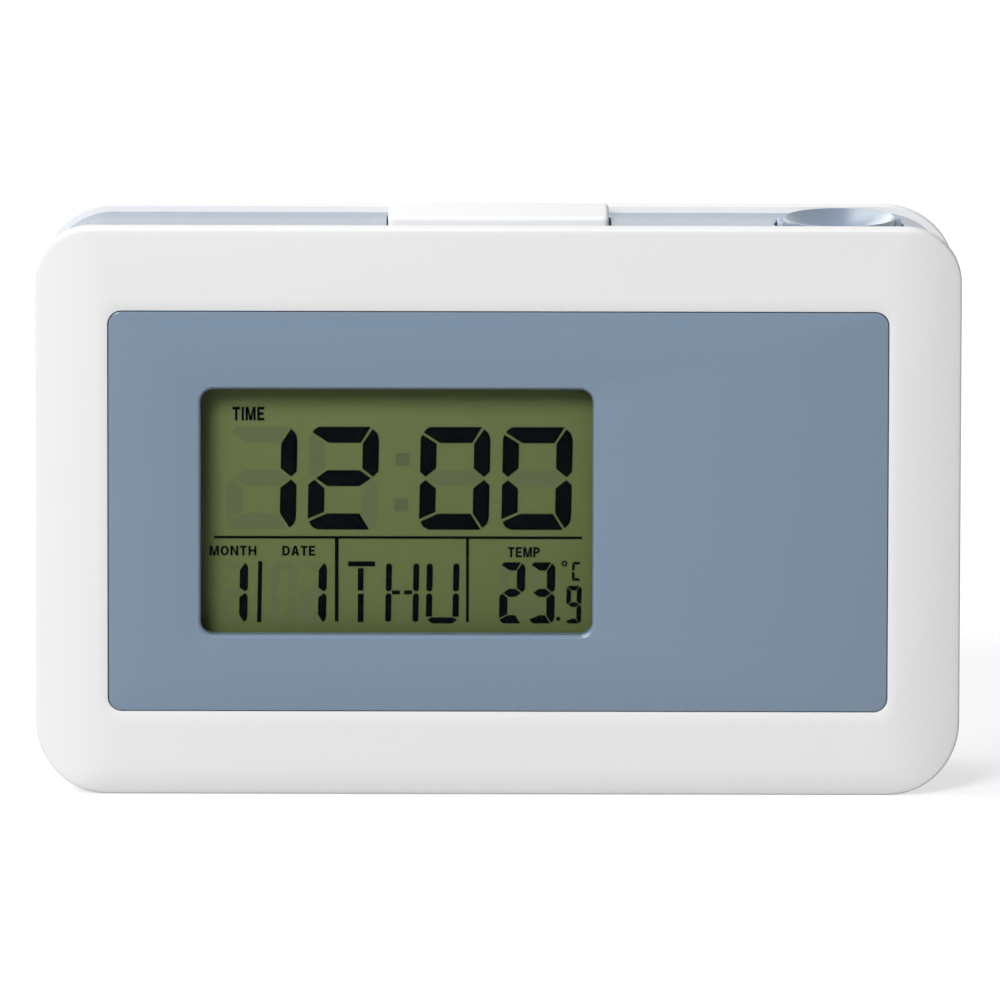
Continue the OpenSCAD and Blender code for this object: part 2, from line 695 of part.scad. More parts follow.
module rear_case() color("whitesmoke") difference() {
    union() {
        difference() {
            rear_cushion(0, band_back_at, case_back_at);
            intersection() {
                rear_cushion(wall, band_back_at - 1, inner_back_at);
                union() {
                    body_plate(wall, band_back_at + 1.4, case_back_at);
                    body_plate(tongue_end, band_back_at - 1, case_back_at);
                }
            }
        }
        tongue_ring(band_back_at - tongue_l, band_back_at + eps);
        intersection() {
            rear_cushion(0.5, post_split_at, case_back_at - 0.5);
            for (p = case_screw_places) rod(p[0], p[1], rear_post_r, post_split_at, case_back_at);
        }
        block(0, compartment_mid_z, compartment_w + 2 * cell_wall, compartment_h + 2 * cell_wall,
              compartment_floor_at - cell_wall, inner_back_at + eps);
        block(0, compartment_mid_z, door_w + 2 * door_gap + 2 * ledge_lap, compartment_h + 2 * cell_wall,
              inner_back_at - ledge_t, inner_back_at + eps);
        for (x = key_boss_xs) rod(x, key_z, 2.5, key_board_back_at, inner_back_at + eps);
    }
    // battery compartment, its door's seat and the door's hinge
    block(0, compartment_mid_z, compartment_w, compartment_h, compartment_floor_at, case_back_at + 1);
    block(0, (door_low_z + door_top_z) / 2, door_w + 2 * door_gap, door_top_z - door_low_z + 2 * door_gap,
          inner_back_at, case_back_at + 1);
    block(0, hinge_z, door_w + 2 * door_gap, 2 * hinge_r + 2 * door_gap, inner_back_at - 0.4, case_back_at + 1);
    for (s = [-1, 1])
        cross_rod(s > 0 ? door_w / 2 - eps : -door_w / 2 - hinge_pin_l - 0.2, at(hinge_at), hinge_z,
                  hinge_pin_r + pin_gap, hinge_pin_l + 0.2 + eps);
    rod(0, door_top_z, scoop_r, case_back_at - scoop_depth, case_back_at + 1);
    for (s = [-1, 1])
        block(s * (compartment_w / 2 + cell_wall / 2), cell_place(cell_count - 1), cell_wall + 1, 3,
              cell_at - 2, cell_at);
    // openings for the keys and the switch knob
    for (i = [0 : key_count - 1])
        translate([key_place(i), at(case_back_at + 1), key_z]) rotate([90, 0, 0])
            linear_extrude(wall + 2) key_outline(key_w + 2 * slide_gap, key_h + 2 * slide_gap);
    block(switch_x, key_z, knob_w + switch_travel + 2 * slide_gap, knob_h + 2 * slide_gap,
          inner_back_at - 1, case_back_at + 1);
    for (x = key_boss_xs) rod(x, key_z, small_r + nest_gap, key_board_back_at - eps, inner_back_at - 1);
    // sound holes
    for (a = [0 : 60 : 300])
        rod(buzzer_x + sound_ring_r * cos(a), buzzer_z + sound_ring_r * sin(a), sound_hole_r,
            inner_back_at - 1, case_back_at + 1);
    rod(buzzer_x, buzzer_z, sound_hole_r, inner_back_at - 1, case_back_at + 1);
    // screw holes with sunk seats
    for (p = case_screw_places) {
        rod(p[0], p[1], screw_r + nest_gap + 0.1, post_split_at - 1, case_back_at + 1);
        rod(p[0], p[1], screw_head_r + 0.2, screw_seat_at, case_back_at + 1);
    }
}

module battery_door() color("whitesmoke") difference() {
    union() {
        block(0, (hinge_z + door_top_z) / 2, door_w, door_top_z - hinge_z, case_back_at - door_t, case_back_at);
        cross_rod(-door_w / 2, at(hinge_at), hinge_z, hinge_r, door_w);
        for (s = [-1, 1])
            cross_rod(s > 0 ? door_w / 2 - eps : -door_w / 2 - hinge_pin_l, at(hinge_at), hinge_z,
                      hinge_pin_r, hinge_pin_l + eps);
    }
    // grooves of the grip near the free edge
    for (i = [-2 : 2])
        block(0, door_top_z - grip_drop + i * grip_pitch, grip_w, grip_groove, case_back_at - grip_depth, case_back_at + 1);
}

// ---------- display ----------
module display_window() color("white", 0.3)
    plate(window_x, window_z, window_w + 2 * clear_margin, window_h + 2 * clear_margin, window_r,
          window_depth + nest_gap, window_depth + nest_gap + clear_t);

module lcd_glass() color("darkolivegreen")
    plate(window_x, glass_z, glass_w, glass_h, 0.5, glass_at, glass_back_at);

module lcd_backlight() color("palegreen")
    plate(window_x, window_z, backlight_w, backlight_h, 0.5, backlight_at, backlight_at + backlight_t);

module backlight_led() color("lightyellow")
    block(led_x + 1, window_z, 1.6, 3.2, backlight_at + 1.3, board_at);

module lcd_holder() color("white") {
    difference() {
        plate(window_x, glass_z, glass_w + 2 * holder_wall, glass_h + 2 * holder_wall, 1, glass_at, board_at);
        plate(window_x, glass_z, glass_w + 2 * nest_gap, glass_h + 2 * nest_gap, 0.5,
              glass_at - 1, glass_back_at + nest_gap);
        plate(window_x, window_z, backlight_w + 2 * nest_gap, backlight_h + 2 * nest_gap, 0.5,
              glass_at - 1, board_at + 1);
        block(window_x, zebra_z, zebra_w + 2 * nest_gap, zebra_t + 2 * nest_gap, glass_at - 1, board_at + 1);
        block(led_x + 1, window_z, 2.1, 3.4, backlight_at + 1.2, board_at + 1);
    }
    for (sx = [-1, 1], sz = [-1, 1])
        rod(window_x + sx * (glass_w / 2 + 0.4), glass_z + sz * (glass_h / 2 - 4), 0.8,
            board_at - eps, board_back_at);
}

module contact_strip() color("dimgray")
    block(window_x, zebra_z, zebra_w, zebra_t, glass_back_at, board_at);

// ---------- main board ----------
module main_board() color("forestgreen") difference() {
    plate(board_x, board_z, board_w, board_h, 1, board_at, board_back_at);
    for (sx = [-1, 1], sz = [-1, 1]) {
        rod(board_x + sx * board_screws_x, board_z + sz * board_screws_z, small_r + 0.2,
            board_at - 1, board_back_at + 1);
        rod(window_x + sx * (glass_w / 2 + 0.4), glass_z + sz * (glass_h / 2 - 4), 0.8 + nest_gap,
            board_at - 1, board_back_at + 1);
    }
}

module controller_chip() color("black") {
    chip_z = board_z + 4;
    chip_rim = 0.8;
    chip_crown = 0.5;
    translate([window_x, at(board_back_at), chip_z]) rotate([-90, 0, 0])
        cylinder(h = chip_rim, r1 = chip_r, r2 = chip_r - 1);
    translate([window_x, at(board_back_at + chip_rim), chip_z]) rotate([-90, 0, 0])
        cylinder(h = chip_crown, r1 = chip_r - 1, r2 = chip_r / 2);
}

module crystal() color("silver") {
    foot = [1.6, 1.4, 1.2];
    cross_rod(crystal_x, at(board_back_at + crystal_r), crystal_z, crystal_r, crystal_l);
    block(crystal_x - foot[0] / 2, crystal_z, foot[0], foot[1], board_back_at, board_back_at + foot[2]);
}

module capacitors() color("midnightblue")
    for (i = [0 : capacitor_count - 1]) {
        z = board_z + (i - capacitor_count + 1) * capacitor_pitch;
        crown = 0.2;
        rod(capacitor_x, z, capacitor_r, board_back_at, board_back_at + capacitor_h - crown);
        rod(capacitor_x, z, capacitor_r - 0.4, board_back_at + capacitor_h - crown - eps, board_back_at + capacitor_h);
    }

module resistors() color("black")
    for (i = [0 : 5])
        block(resistor_x + resistor_pitch * (i % 3), resistor_z + resistor_pitch * floor(i / 3),
              2, 1.25, board_back_at, board_back_at + 0.6);

module buzzer() color("black") difference() {
    rod(buzzer_x, buzzer_z, buzzer_r, board_back_at, board_back_at + buzzer_h);
    rod(buzzer_x, buzzer_z, buzzer_hole_r, board_back_at + buzzer_h - 1.5, board_back_at + buzzer_h + 1);
}

module thermistor() color("saddlebrown") {
    translate([thermistor_x, at(board_back_at + thermistor_r), thermistor_z]) sphere(thermistor_r);
    rod(thermistor_x, thermistor_z, 0.5, board_back_at, board_back_at + thermistor_r);
}

module lead_sockets() color("ivory") {
    difference() {
        block(lead_socket_x, lead_socket_z, lead_socket[0], lead_socket[1],
              board_back_at, board_back_at + lead_socket[2]);
        translate([lead_socket_x, at(board_back_at + lead_socket[2] / 2), lead_socket_z + lead_socket[1] / 2 - 1])
            cylinder(h = 2, r = lead_r + nest_gap);
    }
    block(ribbon_socket_x, ribbon_socket_z, ribbon_socket[0], ribbon_socket[1],
          board_back_at, board_back_at + ribbon_socket[2]);
}

module board_screws() color("silver")
    for (sx = [-1, 1], sz = [-1, 1])
        screw(board_x + sx * board_screws_x, board_z + sz * board_screws_z, board_back_at, small_screw_l,
              small_r, small_head_r, small_head_t);

module bezel_screws() color("silver")
    for (s = [-1, 1], z = bezel_screw_zs)
        screw(s * bezel_screw_x, z, bezel_seat_at, small_screw_l, small_r, small_head_r, small_head_t);

module case_screws() color("silver")
    for (p = case_screw_places)
        screw(p[0], p[1], screw_seat_at, screw_l, screw_r, screw_head_r, screw_head_t);

// ---------- projector ----------
module head_frame() translate([head_x, at(channel_at), head_z]) children();

module projector_head() color("lightslategray") head_frame() difference() {
    union() {
        intersection() {
            sphere(head_ball_r);
            translate([0, 0, -barrel_end]) cylinder(h = barrel_end + head_rim_z, r = head_ball_r + 1);
        }
        for (s = [-1, 1]) {
            cross_rod(s > 0 ? dish_r - 1 : -trunnion_end, 0, 0, trunnion_r, trunnion_end - dish_r + 1);
            cross_rod(s > 0 ? trunnion_end - eps : -trunnion_end - tilt_pin_l, 0, 0, tilt_pin_r, tilt_pin_l + eps);
        }
    }
    translate([0, 0, dish_ball_z]) sphere(dish_ball_r);
    translate([0, 0, -barrel_end - 1]) cylinder(h = 20, r = barrel_r);
    cross_rod(-trunnion_end - tilt_pin_l - 1, 0, 0, pin_hollow_r, 20);
}

module projector_lens() color("aliceblue", 0.5) head_frame() {
    translate([0, 0, lens_top - lens_t]) cylinder(h = lens_t - 0.6, r = lens_r);
    translate([0, 0, lens_top - 0.6 - eps]) intersection() {
        cylinder(h = 0.9, r = 2.7);
        translate([0, 0, -4.2]) sphere(5.1);
    }
}

module projector_lens_ring() color("darkslategray") head_frame() difference() {
    translate([0, 0, lens_top - 0.6]) cylinder(h = 0.6 + 0.3, r = lens_r);
    translate([0, 0, lens_top - 1]) cylinder(h = 2, r = 2.75);
}

module projector_slide() color("darkslategray") head_frame()
    translate([0, 0, lens_top - lens_t - 0.5 - slide_t]) {
        translate([-slide_side / 2, -slide_side / 2, 0]) cube([slide_side, slide_side, slide_t]);
        difference() {
            cylinder(h = 0.5 + slide_t, r = lens_r);
            translate([0, 0, -1]) cylinder(h = 3, r = 3);
        }
        for (s = [-1, 1]) translate([s * 2.7 - 0.5, -0.5, 0]) cube([1, 1, slide_t]);
    }

module projector_led() color("gold") head_frame()
    translate([0, 0, -barrel_end]) {
        cylinder(h = 0.8, r = 2.2);
        cylinder(h = 1.6, r = 1.3);
    }

module projector_cap() color("lightslategray") head_frame() {
    translate([0, 0, -barrel_end - 0.8]) cylinder(h = 0.8, r = barrel_r + 0.5);
    difference() {
        translate([0, 0, -barrel_end - eps]) cylinder(h = 1, r = barrel_r - nest_gap);
        translate([0, 0, -barrel_end - 1 + eps]) cylinder(h = 3, r = 2.25);
    }
    difference() {
        translate([0, 0, -barrel_end - 0.8]) cylinder(h = 0.8, r = 2.4);
        translate([0, 0, -barrel_end - 2]) cylinder(h = 1.4, r = 0.6);
    }
}

lead_start_x = head_x - trunnion_end - tilt_pin_l;
lead_end_at = board_back_at + lead_socket[2] / 2;
lead_pass_at = board_back_at + 0.5;
lead_path = [
    [lead_start_x + 1, at(channel_at), head_z],
    [lead_start_x + 0.1, at(channel_at), head_z],
    [lead_start_x - 0.7, at(channel_at), head_z - 0.2],
    [lead_start_x - 1.4, at(channel_at), head_z - 0.8],
    [lead_start_x - 1.8, at(channel_at), head_z - 1.8],
    [lead_start_x - 2.1, at(channel_at - 0.4), head_z - 3.4],
    [lead_start_x - 2.4, at(lead_pass_at), head_z - 5.2],
    [lead_start_x - 3, at(lead_pass_at), head_z - 8],
    [lead_socket_x + 2.7, at(lead_pass_at), lead_socket_z + 13],
    [lead_socket_x + 1.7, at(lead_pass_at + 0.05), lead_socket_z + 10],
    [lead_socket_x + 0.7, at(lead_end_at), lead_socket_z + 7],
    [lead_socket_x + 0.1, at(lead_end_at), lead_socket_z + 4.5],
    [lead_socket_x, at(lead_end_at), lead_socket_z + 3],
    [lead_socket_x, at(lead_end_at), lead_socket_z + lead_socket[1] / 2 - 0.9]];
module projector_lead() color("black") tube(lead_path, lead_r, [0, 1, 0]);

// ---------- snooze bar ----------
module bar_block(w, d, r, from, to)
    translate([0, at(channel_at), from]) linear_extrude(to - from) round_rect(w, d, r);

module snooze_bar() color("whitesmoke") {
    difference() {
        union() {
            bar_block(snooze_w, snooze_d, snooze_r, snooze_low_z, snooze_top_z);
            bar_block(snooze_w + 2 * snooze_lip, snooze_d + 2 * snooze_lip, snooze_r + snooze_lip,
                      snooze_low_z, snooze_flange_top);
        }
        bar_block(snooze_w - 2 * snooze_wall, snooze_d - 2 * snooze_wall, 0.3, snooze_low_z - 1, snooze_roof_z);
    }
    translate([0, at(channel_at), snooze_stem_low]) cylinder(h = snooze_roof_z - snooze_stem_low + eps, r = 2.2);
    for (s = [-1, 1]) translate([s * snooze_spring_x, at(channel_at), snooze_roof_z - 1.6])
        cylinder(h = 1.6 + eps, r = spring_r - spring_wire_r - 0.4);
}

module snooze_plunger() color("dimgray")
    translate([0, at(channel_at), snooze_tact_top - 1]) cylinder(h = snooze_stem_low - snooze_tact_top + 1, r = plunger_r);

module snooze_switch() color("black") difference() {
    translate([-tact_side / 2, at(channel_at) - tact_side / 2, snooze_board_top]) cube([tact_side, tact_side, tact_h]);
    translate([0, at(channel_at), snooze_tact_top - 1.1 - snooze_travel])
        cylinder(h = 5, r = plunger_r + pin_gap);
}

module snooze_board() color("forestgreen") difference() {
    translate([-snooze_board_end, at(channel_at) - guide_half, snooze_board_top - snooze_board_t])
        cube([2 * snooze_board_end, 2 * guide_half, snooze_board_t]);
    for (s = [-1, 1])
        translate([s * snooze_screw_x, at(channel_at), snooze_board_top - snooze_board_t - 1])
            cylinder(h = 4, r = small_r + 0.2);
}

module snooze_springs() color("silver")
    for (s = [-1, 1]) translate([s * snooze_spring_x, at(channel_at), spring_low_z])
        coil(spring_r, spring_r, spring_high_z - spring_low_z, 6, spring_wire_r);

module snooze_screws() color("silver")
    for (s = [-1, 1]) translate([s * snooze_screw_x, at(channel_at), snooze_board_top - snooze_board_t]) difference() {
        union() {
            translate([0, 0, -small_head_t]) cylinder(h = small_head_t, r = small_head_r);
            translate([0, 0, -eps]) cylinder(h = small_screw_l - 1, r = small_r);
        }
        for (a = [0, 90]) translate([0, 0, -small_head_t]) rotate([0, 0, a])
            cube([small_head_r * 1.2, small_head_r * 0.3, small_head_t], center = true);
    }

// ---------- keys and switch ----------
module key_cap(i) color("whitesmoke") {
    translate([key_place(i), at(case_back_at + key_proud), key_z]) rotate([90, 0, 0])
        linear_extrude(case_back_at + key_proud - key_flange_at) key_outline(key_w, key_h);
    translate([key_place(i), at(key_flange_at + key_flange_t), key_z]) rotate([90, 0, 0])
        linear_extrude(key_flange_t) key_outline(key_w + 2, key_h + 2);
    rod(key_place(i), key_z, 1.6, plunger_top_at, key_flange_at + eps);
}

module key_plunger(i) color("dimgray")
    rod(key_place(i), key_z, plunger_r, tact_top_at - 1, plunger_top_at);

module key_board() color("forestgreen") difference() {
    plate(key_board_x, key_z, key_board_w, key_board_h, 1, key_board_at, key_board_back_at);
    for (x = key_boss_xs) rod(x, key_z, small_r + 0.2, key_board_at - 1, key_board_back_at + 1);
}

module key_switches() color("black")
    for (i = [0 : key_count - 1]) difference() {
        block(key_place(i), key_z, tact_side, tact_side, key_board_back_at, tact_top_at);
        rod(key_place(i), key_z, plunger_r + pin_gap, tact_top_at - 1.1 - key_travel, tact_top_at + 1);
    }

module key_board_screws() color("silver")
    for (x = key_boss_xs)
        translate([0, at(key_board_at) + at(key_board_at), 0]) mirror([0, 1, 0])
            screw(x, key_z, key_board_at, small_screw_l, small_r, small_head_r, small_head_t);

ribbon_z = key_z - key_board_h / 2;
ribbon_w = ribbon_socket[0] - 1;
ribbon_t = 0.6;
ribbon_end_z = ribbon_socket_z - ribbon_socket[1] / 2 - 0.1;
module key_ribbon() color("gray")
    translate([ribbon_socket_x - ribbon_socket[0] / 2, 0, 0]) rotate([90, 0, 90]) linear_extrude(ribbon_w)
        polygon([
            [at(key_board_back_at) - 0.2, ribbon_z - 0.02],
            [at(key_board_back_at) - 0.2 - ribbon_t, ribbon_z - 0.02],
            [at(key_board_back_at) - 0.2 - ribbon_t, ribbon_z - 1.2], [at(board_back_at) + 3.4, ribbon_z - 2],
            [at(board_back_at) + 1.6 + ribbon_t, ribbon_end_z], [at(board_back_at) + 1.6, ribbon_end_z],
            [at(board_back_at) + 2.8, ribbon_z - 2.6], [at(key_board_back_at) - 0.2, ribbon_z - 1.8]]);

module switch_body() color("silver") difference() {
    block(switch_x, key_z, switch_body_w, switch_body_h, key_board_back_at, tact_top_at);
    block(switch_x, key_z, knob_w + switch_travel + 0.2, switch_slot_h, tact_top_at - 1.7, tact_top_at + 1);
}

knob_x = switch_x - switch_travel / 2;
module switch_knob() color("whitesmoke") difference() {
    union() {
        block(knob_x, key_z, knob_w, knob_h, key_flange_at, case_back_at + knob_proud);
        block(knob_x, key_z, knob_w + switch_travel + 2.6, knob_h + 2.4, key_flange_at, key_flange_at + key_flange_t);
        block(knob_x, key_z, knob_w, knob_blade_h, tact_top_at - 1.5, key_flange_at + eps);
    }
    for (i = [-1 : 1])
        block(knob_x + i * 0.8, key_z, 0.3, knob_h + 1, case_back_at + knob_proud - 0.3, case_back_at + knob_proud + 1);
}

// ---------- battery ----------
function cell_sign(i) = i % 2 == 0 ? 1 : -1;

module battery_cells() color("darkorange")
    for (i = [0 : cell_count - 1]) {
        s = cell_sign(i);
        nub = 1.2;
        cross_rod(s > 0 ? -cell_l / 2 : -cell_l / 2 + nub, at(cell_at), cell_place(i), cell_r, cell_l - nub);
        cross_rod(s > 0 ? cell_l / 2 - nub - eps : -cell_l / 2, at(cell_at), cell_place(i), 1.9, nub + eps);
    }

module battery_springs() color("silver")
    for (i = [0 : cell_count - 1]) {
        s = cell_sign(i);
        translate([-s * compartment_w / 2, at(cell_at), cell_place(i)]) rotate([0, s * 90, 0])
            coil(4, 1.8, contact_room - 0.02, 3, 0.3);
    }

module battery_plates() color("silver")
    for (i = [0 : cell_count - 1]) {
        s = cell_sign(i);
        block(s * (compartment_w / 2 - 0.2), cell_place(i), 0.4, 8, cell_at - 4, cell_at + 4);
        translate([s > 0 ? cell_l / 2 : -compartment_w / 2 + 0.3, at(cell_at), cell_place(i)])
            rotate([0, 90, 0]) cylinder(h = contact_room - 0.3, r = 2.4);
    }

module battery_leads() color("firebrick")
    for (s = [-1, 1]) {
        x = compartment_w / 2 + cell_wall;
        z = cell_place(cell_count - 1);
        tube([[s * (x - cell_wall + 0.05), at(cell_at - 1), z],
              [s * (x + 0.4), at(cell_at - 1), z],
              [s * (x + 1.4), at(cell_at - 1.6), z + 0.6],
              [s * (x + 2), at(cell_at - 3.2), z + 2],
              [s * (x + 2.2), at(cell_at - 5.4), z + 4],
              [s * (x + 2.2), at(cell_at - 7.6), z + 6],
              [s * (x + 2.2), at(cell_at - 9.4), z + 7.4],
              [s * (x + 2.2), at(board_back_at + 1), z + 8.3],
              [s * (x + 2.2), at(board_back_at + 0.15), z + 8.35]], 0.6, [0, 0.2, 1]);
    }

front_bezel();
front_panel();
middle_frame();
rear_case();
battery_door();
display_window();
lcd_glass();
lcd_backlight();
backlight_led();
lcd_holder();
contact_strip();
main_board();
controller_chip();
crystal();
capacitors();
resistors();
buzzer();
thermistor();
lead_sockets();
board_screws();
bezel_screws();
case_screws();
projector_head();
projector_lens();
projector_lens_ring();
projector_slide();
projector_led();
projector_cap();
projector_lead();
snooze_bar();
snooze_plunger();
snooze_switch();
snooze_board();
snooze_springs();
snooze_screws();
key_board();
key_switches();
key_board_screws();
key_ribbon();
switch_body();
switch_knob();
battery_cells();
battery_springs();
battery_plates();
battery_leads();
key_cap(0);  // key_mode
key_cap(1);  // key_set
key_cap(2);  // key_up
key_cap(3);  // key_down
key_cap(4);  // key_alarm
key_plunger(0);  // plunger_mode
key_plunger(1);  // plunger_set
key_plunger(2);  // plunger_up
key_plunger(3);  // plunger_down
key_plunger(4);  // plunger_alarm
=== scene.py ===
import bpy
import bmesh
import math
from mathutils import Matrix, Vector


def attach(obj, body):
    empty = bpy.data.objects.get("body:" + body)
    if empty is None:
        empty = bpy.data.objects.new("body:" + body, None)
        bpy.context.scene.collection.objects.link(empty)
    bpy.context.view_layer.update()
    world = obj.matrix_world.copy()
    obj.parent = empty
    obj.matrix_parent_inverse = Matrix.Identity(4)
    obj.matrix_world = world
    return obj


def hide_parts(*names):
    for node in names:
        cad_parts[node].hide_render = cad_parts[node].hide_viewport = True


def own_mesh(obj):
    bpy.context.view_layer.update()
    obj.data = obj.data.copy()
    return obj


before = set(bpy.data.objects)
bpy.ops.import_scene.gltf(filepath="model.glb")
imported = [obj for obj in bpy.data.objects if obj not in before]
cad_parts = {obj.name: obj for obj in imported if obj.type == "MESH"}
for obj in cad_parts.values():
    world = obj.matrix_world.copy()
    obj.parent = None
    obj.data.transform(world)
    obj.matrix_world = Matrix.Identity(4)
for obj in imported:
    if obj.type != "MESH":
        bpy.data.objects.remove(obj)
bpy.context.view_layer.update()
print("frame loaded:", len(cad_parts), "nodes")

# Shapes are worked out in millimetres. Depths are measured rearwards from the front face.
mm = 0.001
clock = dict(width=140, height=87, cornerRadius=11, upperRadius=8.5, shellSide=0.5, halfDepth=16.2,
             bezelBack=4, frameBack=22, caseBack=31.6)
scene = bpy.context.scene


# ---- camera ----
view = dict(elevation=10.5, distance=3.0, aimX=0.3, aimZ=45.56, width=151.2, roll=0.12)

def placeCamera():
    data = bpy.data.cameras.new("frontCamera")
    data.sensor_width = 36
    data.lens = 36 * view["distance"] / (view["width"] * mm)
    camera = bpy.data.objects.new("frontCamera", data)
    scene.collection.objects.link(camera)
    rise = math.radians(view["elevation"])
    aim = Vector((view["aimX"], -clock["halfDepth"], view["aimZ"])) * mm
    back = Vector((0, -math.cos(rise), math.sin(rise))) * view["distance"]
    turn = Matrix.Rotation(math.pi / 2 - rise, 4, "X") @ Matrix.Rotation(math.radians(view["roll"]), 4, "Z")
    camera.matrix_world = Matrix.Translation(aim + back) @ turn
    scene.camera = camera

placeCamera()
print("camera placed")


# ---- lights, world and floor ----
rig = dict(worldLight=0.13, keyPower=218, keySize=1.9, keyPlace=(-1.84, -3.77, 2.77),
           topPower=13, topSize=1.1, topPlace=(-0.8, 0.15, 1.52),
           backPower=58, backSize=2.9, backPlace=(-2.3, 3.3, 2.2),
           floorColour=(0.42, 0.42, 0.42, 1), floorLift=0.68, floorHalf=6, floorDrop=0.05)
plainWhite = (1, 1, 1, 1)

def setInputs(node, values):
    for name, value in values.items():
        node.inputs[name].default_value = value

def addAreaLight(name, power, size, place):
    data = bpy.data.lights.new(name, "AREA")
    data.energy = power
    data.size = size
    light = bpy.data.objects.new(name, data)
    scene.collection.objects.link(light)
    light.location = place
    aim = Vector((0, 0, clock["height"] / 2 * mm)) - Vector(place)
    light.rotation_euler = aim.to_track_quat("-Z", "Y").to_euler()

def lightStudio():
    for lamp in ("key", "top", "back"):
        addAreaLight(lamp + "Light", rig[lamp + "Power"], rig[lamp + "Size"], rig[lamp + "Place"])
    world = bpy.data.worlds.new("studio")
    scene.world = world
    world.use_nodes = True
    nodes, links = world.node_tree.nodes, world.node_tree.links
    nodes.clear()
    leave = nodes.new("ShaderNodeOutputWorld")
    mix = nodes.new("ShaderNodeMixShader")
    soft = nodes.new("ShaderNodeBackground")
    setInputs(soft, {"Color": plainWhite, "Strength": rig["worldLight"]})
    white = nodes.new("ShaderNodeBackground")
    setInputs(white, {"Color": plainWhite, "Strength": 1})
    links.new(seenRay(nodes, links), mix.inputs["Fac"])
    links.new(soft.outputs[0], mix.inputs[1])
    links.new(white.outputs[0], mix.inputs[2])
    links.new(mix.outputs[0], leave.inputs["Surface"])

def seenRay(nodes, links):    # 1 for camera, glossy and transmission rays
    path = nodes.new("ShaderNodeLightPath")
    either = path.outputs["Is Camera Ray"]
    for name in ("Is Glossy Ray", "Is Transmission Ray"):
        add = nodes.new("ShaderNodeMath")
        add.operation = "MAXIMUM"
        links.new(either, add.inputs[0])
        links.new(path.outputs[name], add.inputs[1])
        either = add.outputs[0]
    return either

def layFloor():
    bm = bmesh.new()
    bmesh.ops.create_grid(bm, x_segments=4, y_segments=4, size=rig["floorHalf"])
    bmesh.ops.translate(bm, verts=bm.verts, vec=(0, 0, -rig["floorDrop"] * mm))
    mesh = bpy.data.meshes.new("floor")
    bm.to_mesh(mesh)
    bm.free()
    floor = bpy.data.objects.new("floor", mesh)
    scene.collection.objects.link(floor)
    paper = bpy.data.materials.new("paperFloor")
    paper.use_nodes = True
    nodes, links = paper.node_tree.nodes, paper.node_tree.links
    nodes.clear()
    leave = nodes.new("ShaderNodeOutputMaterial")
    add = nodes.new("ShaderNodeAddShader")
    matt = nodes.new("ShaderNodeBsdfDiffuse")
    matt.inputs["Color"].default_value = rig["floorColour"]
    glow = nodes.new("ShaderNodeEmission")
    glow.inputs["Color"].default_value = plainWhite
    lift = nodes.new("ShaderNodeMath")
    lift.operation = "MULTIPLY"
    lift.inputs[1].default_value = rig["floorLift"]
    links.new(seenRay(nodes, links), lift.inputs[0])
    links.new(lift.outputs[0], glow.inputs["Strength"])
    links.new(matt.outputs[0], add.inputs[0])
    links.new(glow.outputs[0], add.inputs[1])
    links.new(add.outputs[0], leave.inputs["Surface"])
    mesh.materials.append(paper)

scene.view_settings.view_transform = "Standard"
lightStudio()
layFloor()
print("studio ready")


# ---- shared effects ----
def startGroup(name, inputs, outputs):
    group = bpy.data.node_groups.new(name, "ShaderNodeTree")
    for label, kind, value in inputs:
        socket = group.interface.new_socket(name=label, in_out="INPUT", socket_type=kind)
        if value is not None:
            socket.default_value = value
    for label, kind in outputs:
        group.interface.new_socket(name=label, in_out="OUTPUT", socket_type=kind)
    return group, group.nodes.new("NodeGroupInput"), group.nodes.new("NodeGroupOutput")

def addNoise(group, enter, scaleFrom, detail):
    noise = group.nodes.new("ShaderNodeTexNoise")
    noise.inputs["Detail"].default_value = detail
    group.links.new(enter.outputs["Vector"], noise.inputs["Vector"])
    if isinstance(scaleFrom, str):
        group.links.new(enter.outputs[scaleFrom], noise.inputs["Scale"])
    else:
        noise.inputs["Scale"].default_value = scaleFrom
    return noise.outputs["Fac"]

def addMath(group, operation, first, second):
    node = group.nodes.new("ShaderNodeMath")
    node.operation = operation
    for value, socket in ((first, node.inputs[0]), (second, node.inputs[1])):
        if isinstance(value, (int, float)):
            socket.default_value = value
        else:
            group.links.new(value, socket)
    return node.outputs[0]

def tintColour(group, enter, leave, shade):
    tint = group.nodes.new("ShaderNodeVectorMath")
    tint.operation = "SCALE"
    group.links.new(enter.outputs["Color"], tint.inputs[0])
    group.links.new(shade, tint.inputs["Scale"])
    group.links.new(tint.outputs[0], leave.inputs["Color"])

